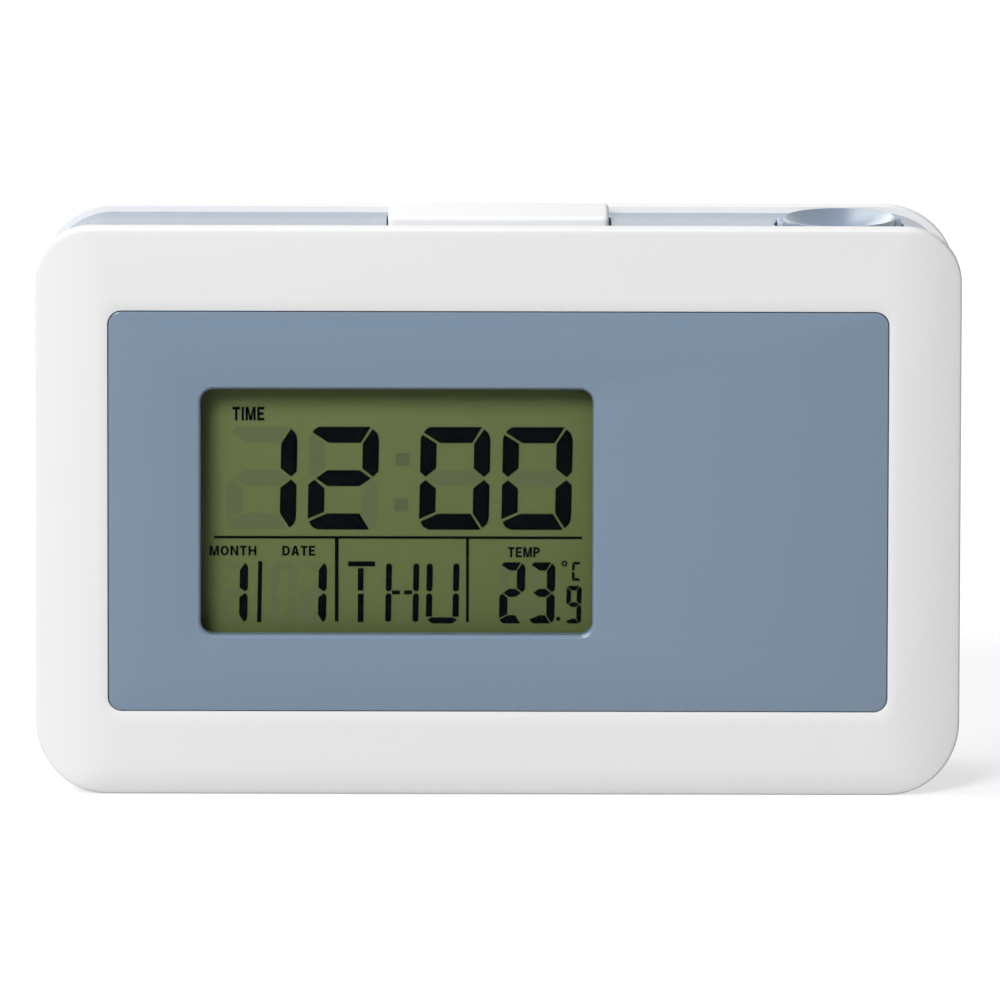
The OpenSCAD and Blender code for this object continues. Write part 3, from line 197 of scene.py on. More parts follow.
# Moulded surface: fine grain, slow drift of tone and faint handling marks
def mouldedSkinGroup():
    group, enter, leave = startGroup(
        "mouldedSkin",
        [("Vector", "NodeSocketVector", None), ("Color", "NodeSocketColor", (0.8, 0.8, 0.8, 1)),
         ("Tone Drift", "NodeSocketFloat", 0.02), ("Grain Scale", "NodeSocketFloat", 3200.0),
         ("Roughness", "NodeSocketFloat", 0.45), ("Smudge", "NodeSocketFloat", 0.05)],
        [("Color", "NodeSocketColor"), ("Roughness", "NodeSocketFloat"), ("Height", "NodeSocketFloat")])
    drift = addMath(group, "SUBTRACT", addNoise(group, enter, 22.0, 3.0), 0.5)
    grain = addNoise(group, enter, "Grain Scale", 3.0)
    speck = addMath(group, "MULTIPLY", addMath(group, "SUBTRACT", grain, 0.5), 0.5)
    shade = addMath(group, "ADD", drift, speck)
    shade = addMath(group, "MULTIPLY", shade, enter.outputs["Tone Drift"])
    tintColour(group, enter, leave, addMath(group, "ADD", shade, 1.0))
    smudge = addMath(group, "SUBTRACT", addNoise(group, enter, 95.0, 4.0), 0.45)
    smudge = addMath(group, "MULTIPLY", smudge, enter.outputs["Smudge"])
    group.links.new(addMath(group, "ADD", smudge, enter.outputs["Roughness"]), leave.inputs["Roughness"])
    group.links.new(grain, leave.inputs["Height"])
    return group

# Plated metal: drawing lines along X and patches of dullness
def drawnMetalGroup():
    group, enter, leave = startGroup(
        "drawnMetal",
        [("Vector", "NodeSocketVector", None), ("Color", "NodeSocketColor", (0.7, 0.7, 0.7, 1)),
         ("Line Scale", "NodeSocketFloat", 2500.0), ("Roughness", "NodeSocketFloat", 0.28)],
        [("Color", "NodeSocketColor"), ("Roughness", "NodeSocketFloat"), ("Height", "NodeSocketFloat")])
    stretch = group.nodes.new("ShaderNodeMapping")
    stretch.inputs["Scale"].default_value = (0.04, 1, 1)
    group.links.new(enter.outputs["Vector"], stretch.inputs["Vector"])
    lines = group.nodes.new("ShaderNodeTexNoise")
    group.links.new(stretch.outputs[0], lines.inputs["Vector"])
    group.links.new(enter.outputs["Line Scale"], lines.inputs["Scale"])
    dull = addMath(group, "MULTIPLY", addNoise(group, enter, 240.0, 3.0), 0.25)
    rough = addMath(group, "ADD", addMath(group, "MULTIPLY", lines.outputs["Fac"], 0.12), dull)
    group.links.new(addMath(group, "ADD", rough, enter.outputs["Roughness"]), leave.inputs["Roughness"])
    tintColour(group, enter, leave, addMath(group, "SUBTRACT", 1.08, dull))
    group.links.new(lines.outputs["Fac"], leave.inputs["Height"])
    return group

# Circuit board: solder mask over tracks, both seen as tone and as height
def boardTracksGroup():
    group, enter, leave = startGroup(
        "boardTracks",
        [("Vector", "NodeSocketVector", None), ("Mask Color", "NodeSocketColor", (0.02, 0.12, 0.04, 1)),
         ("Track Color", "NodeSocketColor", (0.05, 0.24, 0.09, 1)),
         ("Track Scale", "NodeSocketFloat", 260.0)],
        [("Color", "NodeSocketColor"), ("Height", "NodeSocketFloat")])
    turn = group.nodes.new("ShaderNodeMapping")
    turn.inputs["Rotation"].default_value = (math.pi / 2, 0, 0)
    group.links.new(enter.outputs["Vector"], turn.inputs["Vector"])
    tracks = group.nodes.new("ShaderNodeTexBrick")
    setInputs(tracks, {"Color1": (0, 0, 0, 1), "Color2": (0, 0, 0, 1), "Mortar": plainWhite,
                       "Mortar Size": 0.035, "Brick Width": 1.7})
    group.links.new(turn.outputs[0], tracks.inputs["Vector"])
    group.links.new(enter.outputs["Track Scale"], tracks.inputs["Scale"])
    mix = group.nodes.new("ShaderNodeMix")
    mix.data_type = "RGBA"
    group.links.new(tracks.outputs["Color"], mix.inputs["Factor"])
    group.links.new(enter.outputs["Mask Color"], mix.inputs["A"])
    group.links.new(enter.outputs["Track Color"], mix.inputs["B"])
    group.links.new(mix.outputs["Result"], leave.inputs["Color"])
    group.links.new(tracks.outputs["Fac"], leave.inputs["Height"])
    return group

mouldedSkin = mouldedSkinGroup()
drawnMetal = drawnMetalGroup()
boardTracks = boardTracksGroup()


# ---- finishes ----
def startFinish(name, group):
    material = bpy.data.materials.new(name)
    material.use_nodes = True
    nodes, links = material.node_tree.nodes, material.node_tree.links
    shader = nodes["Principled BSDF"]
    spot = nodes.new("ShaderNodeTexCoord")
    effect = nodes.new("ShaderNodeGroup")
    effect.node_tree = group
    links.new(spot.outputs["Object"], effect.inputs["Vector"])
    links.new(effect.outputs["Color"], shader.inputs["Base Color"])
    if "Roughness" in effect.outputs:
        links.new(effect.outputs["Roughness"], shader.inputs["Roughness"])
    bump = nodes.new("ShaderNodeBump")
    links.new(effect.outputs["Height"], bump.inputs["Height"])
    links.new(bump.outputs["Normal"], shader.inputs["Normal"])
    return material, shader, effect, bump

def mouldedPlastic(name, colour, roughness=0.45, drift=0.025, smudge=0.06, grainScale=3200.0,
                   grainDepth=0.004, specular=0.5, alpha=1.0, coat=0.0, coatRoughness=0.08, clear=0.0):
    material, shader, effect, bump = startFinish(name, mouldedSkin)
    setInputs(effect, {"Color": (*colour, 1), "Tone Drift": drift, "Grain Scale": grainScale,
                       "Roughness": roughness, "Smudge": smudge})
    setInputs(bump, {"Strength": 0.35, "Distance": grainDepth * mm})
    setInputs(shader, {"Specular IOR Level": specular, "Alpha": alpha, "Coat Weight": coat,
                       "Coat Roughness": coatRoughness, "Transmission Weight": clear})
    return material

def platedMetal(name, colour, roughness=0.22):
    material, shader, effect, bump = startFinish(name, drawnMetal)
    setInputs(effect, {"Color": (*colour, 1), "Roughness": roughness})
    setInputs(bump, {"Strength": 0.2, "Distance": 0.003 * mm})
    shader.inputs["Metallic"].default_value = 1
    return material

def solderMask(name):
    material, shader, effect, bump = startFinish(name, boardTracks)
    setInputs(bump, {"Strength": 0.5, "Distance": 0.03 * mm})
    shader.inputs["Roughness"].default_value = 0.3
    return material

finishes = dict(
    white_shell=mouldedPlastic("whiteShell", (0.83, 0.832, 0.835), roughness=0.5, drift=0.02, specular=0.35),
    blue_grey_shell=mouldedPlastic("blueGreyShell", (0.143, 0.216, 0.307), roughness=0.27, drift=0.015,
                                   smudge=0.02, grainScale=4200.0, grainDepth=0.001, specular=0.7, coat=0.65),
    clear_window=mouldedPlastic("clearWindow", (0.9, 0.92, 0.93), roughness=0.03, drift=0.01, smudge=0.02,
                                grainScale=300.0, grainDepth=0.0004, alpha=0.012, clear=1.0),
    clear_lens=mouldedPlastic("clearLens", (0.85, 0.9, 0.93), roughness=0.03, drift=0.01, smudge=0.02,
                              grainScale=300.0, grainDepth=0.0004, alpha=0.5, clear=0.9),
    display_green=mouldedPlastic("displayGreen", (0.119, 0.152, 0.051), roughness=0.55, drift=0.05,
                                 smudge=0.04, grainScale=5200.0, grainDepth=0.002, specular=0.15),
    light_guide=mouldedPlastic("lightGuide", (0.78, 0.82, 0.76), roughness=0.5, drift=0.03),
    white_frame=mouldedPlastic("whiteFrame", (0.76, 0.76, 0.73), roughness=0.5, drift=0.04),
    lamp_resin=mouldedPlastic("lampResin", (0.86, 0.8, 0.42), roughness=0.12, drift=0.05, coat=0.5),
    contact_rubber=mouldedPlastic("contactRubber", (0.03, 0.03, 0.032), roughness=0.75, drift=0.2,
                                  grainScale=900.0, grainDepth=0.03),
    board_green=solderMask("solderMask"),
    black_plastic=mouldedPlastic("blackPlastic", (0.012, 0.012, 0.014), roughness=0.42, drift=0.15),
    plunger_grey=mouldedPlastic("plungerGrey", (0.045, 0.045, 0.05), roughness=0.4, drift=0.1),
    capacitor_sleeve=mouldedPlastic("capacitorSleeve", (0.01, 0.014, 0.06), roughness=0.25, drift=0.1,
                                    coat=0.3),
    brown_resin=mouldedPlastic("brownResin", (0.16, 0.055, 0.018), roughness=0.25, drift=0.12, coat=0.4),
    bright_steel=platedMetal("brightSteel", (0.62, 0.62, 0.63)),
    cell_wrap=mouldedPlastic("cellWrap", (0.6, 0.21, 0.03), roughness=0.24, drift=0.06, coat=0.4),
    lead_jacket=mouldedPlastic("leadJacket", (0.06, 0.008, 0.008), roughness=0.38, drift=0.1),
    ribbon_grey=mouldedPlastic("ribbonGrey", (0.3, 0.31, 0.33), roughness=0.45, drift=0.08),
)
ownFinishes = dict(    # of pieces that the slots don't tell apart
    # the bowl is the blue-grey shell's plastic with its colour darkened: painted shade for the dim inside of
    # its dish
    bowl=mouldedPlastic("bowlShadedBlueGrey", (0.12, 0.18, 0.26), roughness=0.34, drift=0.015, smudge=0.02,
                        grainScale=4200.0, grainDepth=0.001, specular=1.0, coat=0.9, coatRoughness=0.27),
    ink=mouldedPlastic("displayInk", (0.0012, 0.0016, 0.0025), roughness=0.6, drift=0.2, specular=0.02),
    ghost=mouldedPlastic("displayGhost", (0.108, 0.132, 0.056), roughness=0.55, drift=0.05, specular=0.15),
    colon=mouldedPlastic("displayColon", (0.089, 0.115, 0.054), roughness=0.55, drift=0.05, specular=0.15),
)

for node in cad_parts.values():
    for place in node.material_slots:
        place.material = finishes[place.material.name.split(".")[0]]
print("finishes ready:", len(finishes) + len(ownFinishes))


# ---- modelling helpers ----
def roundedOutline(width, height, radius, midX=0.0, midZ=0.0, corner=16, upperRadius=None):
    outline = []
    for signX, signZ, start in ((1, 1, 0), (-1, 1, 90), (-1, -1, 180), (1, -1, 270)):
        bend = upperRadius if upperRadius and signZ > 0 else radius
        for step in range(corner + 1):
            turn = math.radians(start + 90 * step / corner)
            outline.append((midX + signX * (width / 2 - bend) + bend * math.cos(turn),
                            midZ + signZ * (height / 2 - bend) + bend * math.sin(turn)))
    return outline

def grownOutline(grow, width, height, radius, midX=0.0, midZ=0.0, corner=16):
    return roundedOutline(width + 2 * grow, height + 2 * grow, radius + grow, midX, midZ, corner)

# A loop that faces the front, at one depth or at a depth worked out from each point
def frontLoop(outline, depth):
    return [Vector((x, (depth(x, z) if callable(depth) else depth) - clock["halfDepth"], z))
            for x, z in outline]

# A level loop round a middle in X and depth
def levelLoop(outline, height, depth):
    return [Vector((x, y + depth - clock["halfDepth"], height)) for x, y in outline]

# Extrudes the first loop to each next one in turn; returns the edges of every loop
def skinLoops(bm, loops, ring=False):
    verts = first = [bm.verts.new(spot) for spot in loops[0]]
    made = [[bm.edges.new(pair) for pair in zip(verts, verts[1:] + verts[:1])]]
    for spots in loops[1:] + (loops[:1] if ring else []):
        grown = bmesh.ops.extrude_edge_only(bm, edges=made[-1])
        fresh = {item for item in grown["geom"] if isinstance(item, bmesh.types.BMVert)}
        verts = [next(edge.other_vert(vert) for edge in vert.link_edges if edge.other_vert(vert) in fresh)
                 for vert in verts]
        for vert, spot in zip(verts, spots):
            vert.co = spot
        made.append([bm.edges.get(pair) for pair in zip(verts, verts[1:] + verts[:1])])
    if ring:
        bmesh.ops.weld_verts(bm, targetmap=dict(zip(verts, first)))
    else:
        bmesh.ops.edgeloop_fill(bm, edges=made[0])
        bmesh.ops.edgeloop_fill(bm, edges=made[-1])
    return made

def roundEdges(bm, edges, offset, segments=3):
    bmesh.ops.bevel(bm, geom=edges, offset=offset, offset_type="OFFSET", segments=segments,
                    profile=0.5, affect="EDGES", material=-1)

# Solid of one outline between two depths; returns the edges at each end
def addPlate(bm, outline, front, back):
    return skinLoops(bm, [frontLoop(outline, front), frontLoop(outline, back)])

# Turned shape: a profile of (radius, along) spun round an axis
def addTurned(bm, profile, centre, axis, steps=48):
    axis = Vector(axis)
    side = Vector((0, 0, 1)).cross(axis) if abs(axis.z) < 0.5 else Vector((1, 0, 0))
    centre = Vector((centre[0], centre[1] - clock["halfDepth"], centre[2]))
    verts = [bm.verts.new(centre + side * radius + axis * along) for radius, along in profile]
    edges = [bm.edges.new(pair) for pair in zip(verts, verts[1:])]
    bmesh.ops.spin(bm, geom=verts + edges, cent=centre, axis=axis, dvec=(0, 0, 0),
                   angle=math.tau, steps=steps, use_merge=True)

# Round post along Y, with a bore through it or none
def addPost(bm, x, z, radius, bore, front, back, steps=28):
    profile = [(bore, front), (radius, front), (radius, back - 0.15), (radius - 0.15, back), (bore, back)]
    addTurned(bm, profile + profile[:1] if bore else profile, (x, 0, z), (0, 1, 0), steps)

def addBlock(bm, left, right, low, high, front, back):
    addPlate(bm, roundedOutline(right - left, high - low, 0.15, (left + right) / 2, (low + high) / 2, 2),
             front, back)

def arcPoints(radius, start, end, steps, midA=0.0, midB=0.0):
    turns = [math.radians(start + (end - start) * step / steps) for step in range(steps + 1)]
    return [(midA + radius * math.cos(turn), midB + radius * math.sin(turn)) for turn in turns]

def bmToObject(bm, name):
    bmesh.ops.remove_doubles(bm, verts=bm.verts, dist=0.0004)
    bmesh.ops.recalc_face_normals(bm, faces=bm.faces)
    bmesh.ops.scale(bm, vec=(mm, mm, mm), verts=bm.verts)
    mesh = bpy.data.meshes.new(name)
    bm.to_mesh(mesh)
    bm.free()
    piece = bpy.data.objects.new(name, mesh)
    scene.collection.objects.link(piece)
    return piece

# Takes pieces back into one bmesh, in millimetres
def reopen(*pieces):
    bm = bmesh.new()
    for piece in pieces:
        bm.from_mesh(piece.data)
        bpy.data.objects.remove(piece)
    bmesh.ops.scale(bm, vec=(1 / mm, 1 / mm, 1 / mm), verts=bm.verts)
    return bm

def cutAway(piece, cutterMesh):
    cutter = bmToObject(cutterMesh, piece.name + "Cutter")
    cut = piece.modifiers.new("openings", "BOOLEAN")
    cut.operation = "DIFFERENCE"
    cut.solver = "EXACT"
    cut.object = cutter
    graph = bpy.context.evaluated_depsgraph_get()
    mesh = bpy.data.meshes.new_from_object(piece.evaluated_get(graph))
    piece.modifiers.clear()
    old = piece.data
    piece.data = mesh
    mesh.name = piece.name
    bpy.data.meshes.remove(old)
    bpy.data.objects.remove(cutter)

def finishPiece(bm, name, body, slotName, nodes=(), finish=None, smooth=32):
    piece = bmToObject(bm, name)
    mesh = piece.data
    mesh.materials.clear()
    mesh.materials.append(finish or finishes[slotName])
    mesh.shade_smooth()
    mesh.set_sharp_from_angle(angle=math.radians(smooth))
    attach(piece, body)
    if nodes:
        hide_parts(*nodes)
    return piece


# ---- front bezel ----
bowl = dict(x=51.6, at=13, pivot=84.6, hole=9.8, notchHalf=6)    # the projector's place
bezel = dict(openingWidth=118.1, openingHeight=61.6, openingRadius=2.15, openingMid=43.7, plateDepth=2,
             sideRun=12, sideDrop=2.2, footRun=4.5, footDrop=0.8, edgeRound=0.32, openingRound=0.12,
             lip=2.75, tongue=1.2, tongueDepth=5.4, pocketWidth=123.1, pocketHeight=66.6, pocketRadius=4.65,
             shares=(0, 0.15, 0.3, 0.43, 0.55, 0.66, 0.76, 0.85, 0.93, 1),    # of the way to the outer edge
             backRound=0.18, bossRadius=2.2, bossBore=0.9, bossBack=7)
stakeProfile = [(0, 1.9), (0.8, 1.9), (0.8, 3.2), (1.25, 3.2), (1.25, 3.4), (1.1, 3.65), (0.7, 3.8), (0, 3.8)]
bezelScrews = [(side * 64, z) for side in (-1, 1) for z in (20, 67)]
stakeSpots = [(side * x, bezel["openingMid"] + z) for side in (-1, 1)
              for x, z in ((60.2, -19.95), (60.2, 0), (60.2, 19.95), (38.2, -31.95), (38.2, 31.95))]

def arcDrop(run, length, drop):
    if run <= 0:
        return 0
    radius = (length ** 2 + drop ** 2) / (2 * drop)
    return radius - math.sqrt(radius ** 2 - min(run, length) ** 2)

def faceDepth(x, z):
    side = arcDrop(abs(x) - (clock["width"] / 2 - bezel["sideRun"]), bezel["sideRun"], bezel["sideDrop"])
    foot = arcDrop(bezel["footRun"] - z, bezel["footRun"], bezel["footDrop"])
    return math.hypot(side, foot)

# Room for the tilting head, cut from a tongue
def headNotch(front, back):
    bm = bmesh.new()
    addBlock(bm, bowl["x"] - bowl["hole"], bowl["x"] + bowl["hole"],
             bowl["pivot"] - bowl["notchHalf"], bowl["pivot"] + bowl["notchHalf"], front, back)
    return bm

# Outline of the frame and the rear case
def caseOutline(inset):
    return roundedOutline(clock["width"] - 2 * (clock["shellSide"] + inset), clock["height"] - 2 * inset,
                          clock["cornerRadius"] - inset, 0, clock["height"] / 2)

def makeBezel():
    bm = bmesh.new()
    opening = roundedOutline(bezel["openingWidth"], bezel["openingHeight"], bezel["openingRadius"],
                             0, bezel["openingMid"])
    outer = roundedOutline(clock["width"], clock["height"], clock["cornerRadius"], 0, clock["height"] / 2,
                           upperRadius=clock["upperRadius"])
    loops = [frontLoop(opening, bezel["plateDepth"])]
    for share in bezel["shares"]:
        between = [(a + (c - a) * share, b + (d - b) * share) for (a, b), (c, d) in zip(opening, outer)]
        loops.append(frontLoop(between, faceDepth))
    pocket = roundedOutline(bezel["pocketWidth"], bezel["pocketHeight"], bezel["pocketRadius"],
                            0, bezel["openingMid"])
    tongueEnd = bezel["lip"] + bezel["tongue"]
    loops += [frontLoop(outer, clock["bezelBack"]),
              frontLoop(caseOutline(bezel["lip"]), clock["bezelBack"]),
              frontLoop(caseOutline(bezel["lip"]), bezel["tongueDepth"]),
              frontLoop(caseOutline(tongueEnd), bezel["tongueDepth"]),
              frontLoop(caseOutline(tongueEnd), clock["bezelBack"]),
              frontLoop(pocket, clock["bezelBack"]),
              frontLoop(pocket, bezel["plateDepth"])]
    made = skinLoops(bm, loops, ring=True)
    faceOuter = len(bezel["shares"])
    roundEdges(bm, made[faceOuter], bezel["edgeRound"], 4)
    roundEdges(bm, made[1], bezel["openingRound"], 2)
    roundEdges(bm, made[faceOuter + 1], bezel["backRound"], 3)
    piece = bmToObject(bm, "frontBezel")
    cutAway(piece, headNotch(clock["bezelBack"] + 0.01, bezel["tongueDepth"] + 1))
    bm = reopen(piece)
    for x, z in bezelScrews:
        addPost(bm, x, z, bezel["bossRadius"], bezel["bossBore"], clock["bezelBack"] - 0.5, bezel["bossBack"])
    for x, z in stakeSpots:    # melted heads that hold the panel
        addTurned(bm, stakeProfile, (x, 0, z), (0, 1, 0), steps=24)
    finishPiece(bm, "frontBezelShell", "case", "white_shell", ["front_bezel"])


# ---- front panel ----
panel = dict(width=117.8, height=61.3, radius=2, mid=43.7, face=0.05, flange=2.6, flangeFront=2, back=3.2,
             edgeRound=0.14, bossRadius=2.2, bossBore=0.9, bossBack=9.4,
             bosses=[(-8 + x, 42.25 + z) for x in (-45.5, 45.5) for z in (-23.75, 23.75)])
window = dict(width=59.25, height=37.7, radius=2, midX=-15.33, midZ=43.57, bevel=0.45, wallEnd=2.2,
              margin=1.5, clearFront=2.25, clearBack=3.05)

def windowOutline(grow):
    return grownOutline(grow, window["width"], window["height"], window["radius"],
                        window["midX"], window["midZ"])

def panelOutline(grow):
    return grownOutline(grow, panel["width"], panel["height"], panel["radius"], 0, panel["mid"])

def makePanel():
    bm = bmesh.new()
    face, bevel, margin = panel["face"], window["bevel"], window["margin"]
    loops = [frontLoop(panelOutline(0), panel["flangeFront"]),
             frontLoop(panelOutline(0), face),
             frontLoop(windowOutline(bevel), face),
             frontLoop(windowOutline(0), face + bevel),
             frontLoop(windowOutline(0), window["wallEnd"]),
             frontLoop(windowOutline(margin), window["wallEnd"]),
             frontLoop(windowOutline(margin), panel["back"]),
             frontLoop(panelOutline(panel["flange"]), panel["back"]),
             frontLoop(panelOutline(panel["flange"]), panel["flangeFront"])]
    front, sight, sill = skinLoops(bm, loops, ring=True)[1:4]
    roundEdges(bm, front, panel["edgeRound"], 3)
    roundEdges(bm, sight + sill, 0.1, 2)
    for x, z in panel["bosses"]:
        addPost(bm, x, z, panel["bossRadius"], panel["bossBore"], panel["back"] - 0.2, panel["bossBack"])
    finishPiece(bm, "frontPanelPlate", "case", "blue_grey_shell", ["front_panel"])

def makeClearWindow():
    bm = bmesh.new()
    loops = addPlate(bm, windowOutline(window["margin"] - 0.05), window["clearFront"], window["clearBack"])
    roundEdges(bm, loops[0] + loops[1], 0.12, 2)
    finishPiece(bm, "clearWindowPlate", "case", "clear_window", ["display_window"])

makeBezel()
makePanel()
makeClearWindow()
print("front pieces made")


# ---- display ----
display = dict(glassWidth=65.7, glassHeight=46.85, glassMid=42.42, glassFront=3.25, filmAt=4.85,
               glassBack=5.05, inkFront=4.77, inkBack=4.81, ghostFront=4.84, ghostBack=4.86,
               left=-45.0, low=24.22, slant=0.019)
digit = dict(width=10.58, height=15.8, stroke=2.46, low=15.87, places=(3.78, 16.14, 33.0, 45.46))
smallDigit = dict(width=3.85, height=9.4, stroke=1.25, low=1.45)

def addTile(bm, outline, lean=0.0, base=0.0, layer="ink"):
    front = display[layer + "Front"] - clock["halfDepth"]
    verts = [bm.verts.new((display["left"] + u + lean * (v - base), front, display["low"] + v))
             for u, v in outline]
    face = bm.faces.new(verts)
    grown = bmesh.ops.extrude_face_region(bm, geom=[face])
    moved = [item for item in grown["geom"] if isinstance(item, bmesh.types.BMVert)]
    bmesh.ops.translate(bm, verts=moved, vec=(0, display[layer + "Back"] - display[layer + "Front"], 0))

# Outlines of the seven segments of a digit, from its lower left corner
def segmentOutlines(width, height, stroke):
    k, m, w, h, s = stroke / 2.42, height / 2, width, height, stroke
    return dict(
        a=[(0.45 * k, h - 0.83 * k), (0.8 * k, h - 0.35 * k), (1.4 * k, h), (w - 1.28 * k, h),
           (w - s - 0.3 * k, h - s), (s + 0.5 * k, h - s)],
        b=[(w - 0.98 * k, h - 0.3 * k), (w - 0.3 * k, h - 0.95 * k), (w, h - 1.9 * k), (w, m + 1.05 * k),
           (w - 0.82 * k, m + 0.2 * k), (w - s, m + 1.5 * k), (w - s, h - s - 0.1 * k)],
        c=[(w - 0.82 * k, m - 0.2 * k), (w, m - 1.05 * k), (w, 1.7 * k), (w - 0.3 * k, 0.85 * k),
           (w - 0.95 * k, 0.25 * k), (w - s, s + 0.05 * k), (w - s, m - 1.5 * k)],
        d=[(0.18 * k, 1.2 * k), (s + 0.4 * k, s), (w - s - 0.3 * k, s), (w - 1.25 * k, 0.1 * k),
           (w - 1.4 * k, 0), (1.4 * k, 0), (0.6 * k, 0.45 * k)],
        e=[(0.86 * k, m - 0.22 * k), (0, m - 1.0 * k), (0, 1.6 * k), (s, s + 0.25 * k), (s, m - 1.55 * k)],
        f=[(0.86 * k, m + 0.22 * k), (s, m + 1.55 * k), (s, h - s - 0.1 * k), (0.22 * k, h - 1.15 * k),
           (0, h - 1.75 * k), (0, m + 1.0 * k)],
        g=[(1.12 * k, m), (s + 0.35 * k, m + 1.2 * k), (w - s - 0.35 * k, m + 1.2 * k), (w - 1.12 * k, m),
           (w - s - 0.35 * k, m - 1.2 * k), (s + 0.35 * k, m - 1.2 * k)])

def addDigit(bm, sizes, left, names, layer="ink"):
    outlines = segmentOutlines(sizes["width"], sizes["height"], sizes["stroke"])
    for name in names:
        addTile(bm, [(left + u, sizes["low"] + v) for u, v in outlines[name]],
                display["slant"], sizes["low"], layer)

def addBar(bm, left, right, low, high, lean=0.0, layer="ink"):
    addTile(bm, [(left, low), (right, low), (right, high), (left, high)], lean, low, layer)

def makeTimeDigits():
    bm = bmesh.new()
    for left, names in zip(digit["places"], ("bc", "abged", "abcdef", "abcdef")):
        addDigit(bm, digit, left, names)
    finishPiece(bm, "displayTime", "case", "black_plastic", finish=ownFinishes["ink"])

def makeRules():
    bm = bmesh.new()
    addBar(bm, 2.0, 57.76, 14.46, 14.84)      # under the time
    addBar(bm, 20.3, 20.85, 1.65, 14.46)
    addBar(bm, 40.18, 40.6, 1.65, 14.46)
    finishPiece(bm, "displayRules", "case", "black_plastic", finish=ownFinishes["ink"])

# Both halves of a letter's upright; the foot is the lower half's own end
def addUpright(bm, left, width, tip, foot):
    lower = foot + [(width, 5.75), (tip, 6.1), (0, 5.75)]
    upper = [(0, 6.6), (tip, 6.28), (width, 6.6), (width, 10.4), (tip, 10.7), (0, 10.4)]
    for outline in (lower, upper):
        addTile(bm, [(left + u, v) for u, v in outline], 0.0175, 1.6)

def makeDateRow():
    bm = bmesh.new()
    addDigit(bm, smallDigit, 3.15, "bc")       # month
    addBar(bm, 8.5, 9.12, 1.57, 10.95, 0.02)
    addDigit(bm, smallDigit, 15.1, "bc")       # date
    addBar(bm, 22.32, 26.4, 10.18, 10.95)      # T
    addBar(bm, 23.75, 24.62, 6.45, 9.9, 0.01)
    addBar(bm, 23.75, 24.62, 1.6, 5.95, 0.01)
    for left in (27.91, 32.05):                # H
        addUpright(bm, left, 0.9, 0.45, [(0, 1.88), (0.45, 1.6), (0.9, 1.88)])
    addBar(bm, 28.95, 30.18, 5.88, 6.49)
    addBar(bm, 30.79, 32.0, 5.88, 6.49)
    for left in (34.07, 38.1):                 # U
        addUpright(bm, left, 0.93, 0.46, [(0, 2.45), (0.93, 2.45)])
    addTile(bm, [(34.3, 2.0), (35.0, 1.42), (38.1, 1.42), (38.8, 2.0), (38.1, 2.34), (35.0, 2.34)])
    addDigit(bm, smallDigit, 45.15, "abged")   # temperature
    addDigit(bm, smallDigit, 49.7, "abgcd")
    tenths = dict(width=2.3, height=5.8, stroke=0.72, low=1.45)
    addDigit(bm, tenths, 55.3, "abcdfg")
    tiny = dict(width=1.5, height=2.9, stroke=0.4, low=8.03)
    addDigit(bm, tiny, 56.2, "adef")           # C
    finishPiece(bm, "displayDate", "case", "black_plastic", finish=ownFinishes["ink"])

def makeRoundMarks():
    bm = bmesh.new()
    front = display["inkFront"]
    spots = ((54.16, 2.16, 0, 0.33), (55.09, 10.68, 0.22, 0.45))    # decimal point, degree ring
    for u, v, inner, outer in spots:
        centre = (display["left"] + u, front, display["low"] + v)
        thick = display["inkBack"] - front
        profile = [(inner, 0), (outer, 0), (outer, thick), (inner, thick)]
        addTurned(bm, profile + profile[:1] if inner else profile, centre, (0, 1, 0), steps=20)
    finishPiece(bm, "displayMarks", "case", "black_plastic", finish=ownFinishes["ink"])

def makeGhosts():
    bm = bmesh.new()
    for left, names in zip(digit["places"], ("aged", "fc", "g", "g")):
        addDigit(bm, digit, left, names, "ghost")
    addDigit(bm, smallDigit, 45.15, "fc", "ghost")
    addDigit(bm, smallDigit, 49.7, "ef", "ghost")
    for left, names in ((3.15, "aged"), (10.55, "abcdef"), (15.1, "aged")):
        addDigit(bm, smallDigit, left, names, "ghost")
    finishPiece(bm, "displayGhosts", "case", "display_green", finish=ownFinishes["ghost"])
    bm = bmesh.new()
    addBar(bm, 29.5, 31.6, 25.67, 27.67, layer="ghost")
    addBar(bm, 29.28, 31.38, 18.66, 20.66, layer="ghost")
    finishPiece(bm, "displayColon", "case", "display_green", finish=ownFinishes["colon"])

legends = (("TIME", 4.78, 9.62, 32.63, 34.7), ("MONTH", 1.3, 8.41, 11.83, 13.32),
           ("DATE", 12.34, 17.33, 11.83, 13.32), ("TEMP", 46.51, 51.35, 11.63, 13.2))
letterWidths = dict(T=0.62, I=0.19, M=0.82, E=0.58, O=0.72, N=0.68, H=0.68, D=0.68, A=0.72, P=0.62)
letterGap, letterStroke = 0.13, 0.19

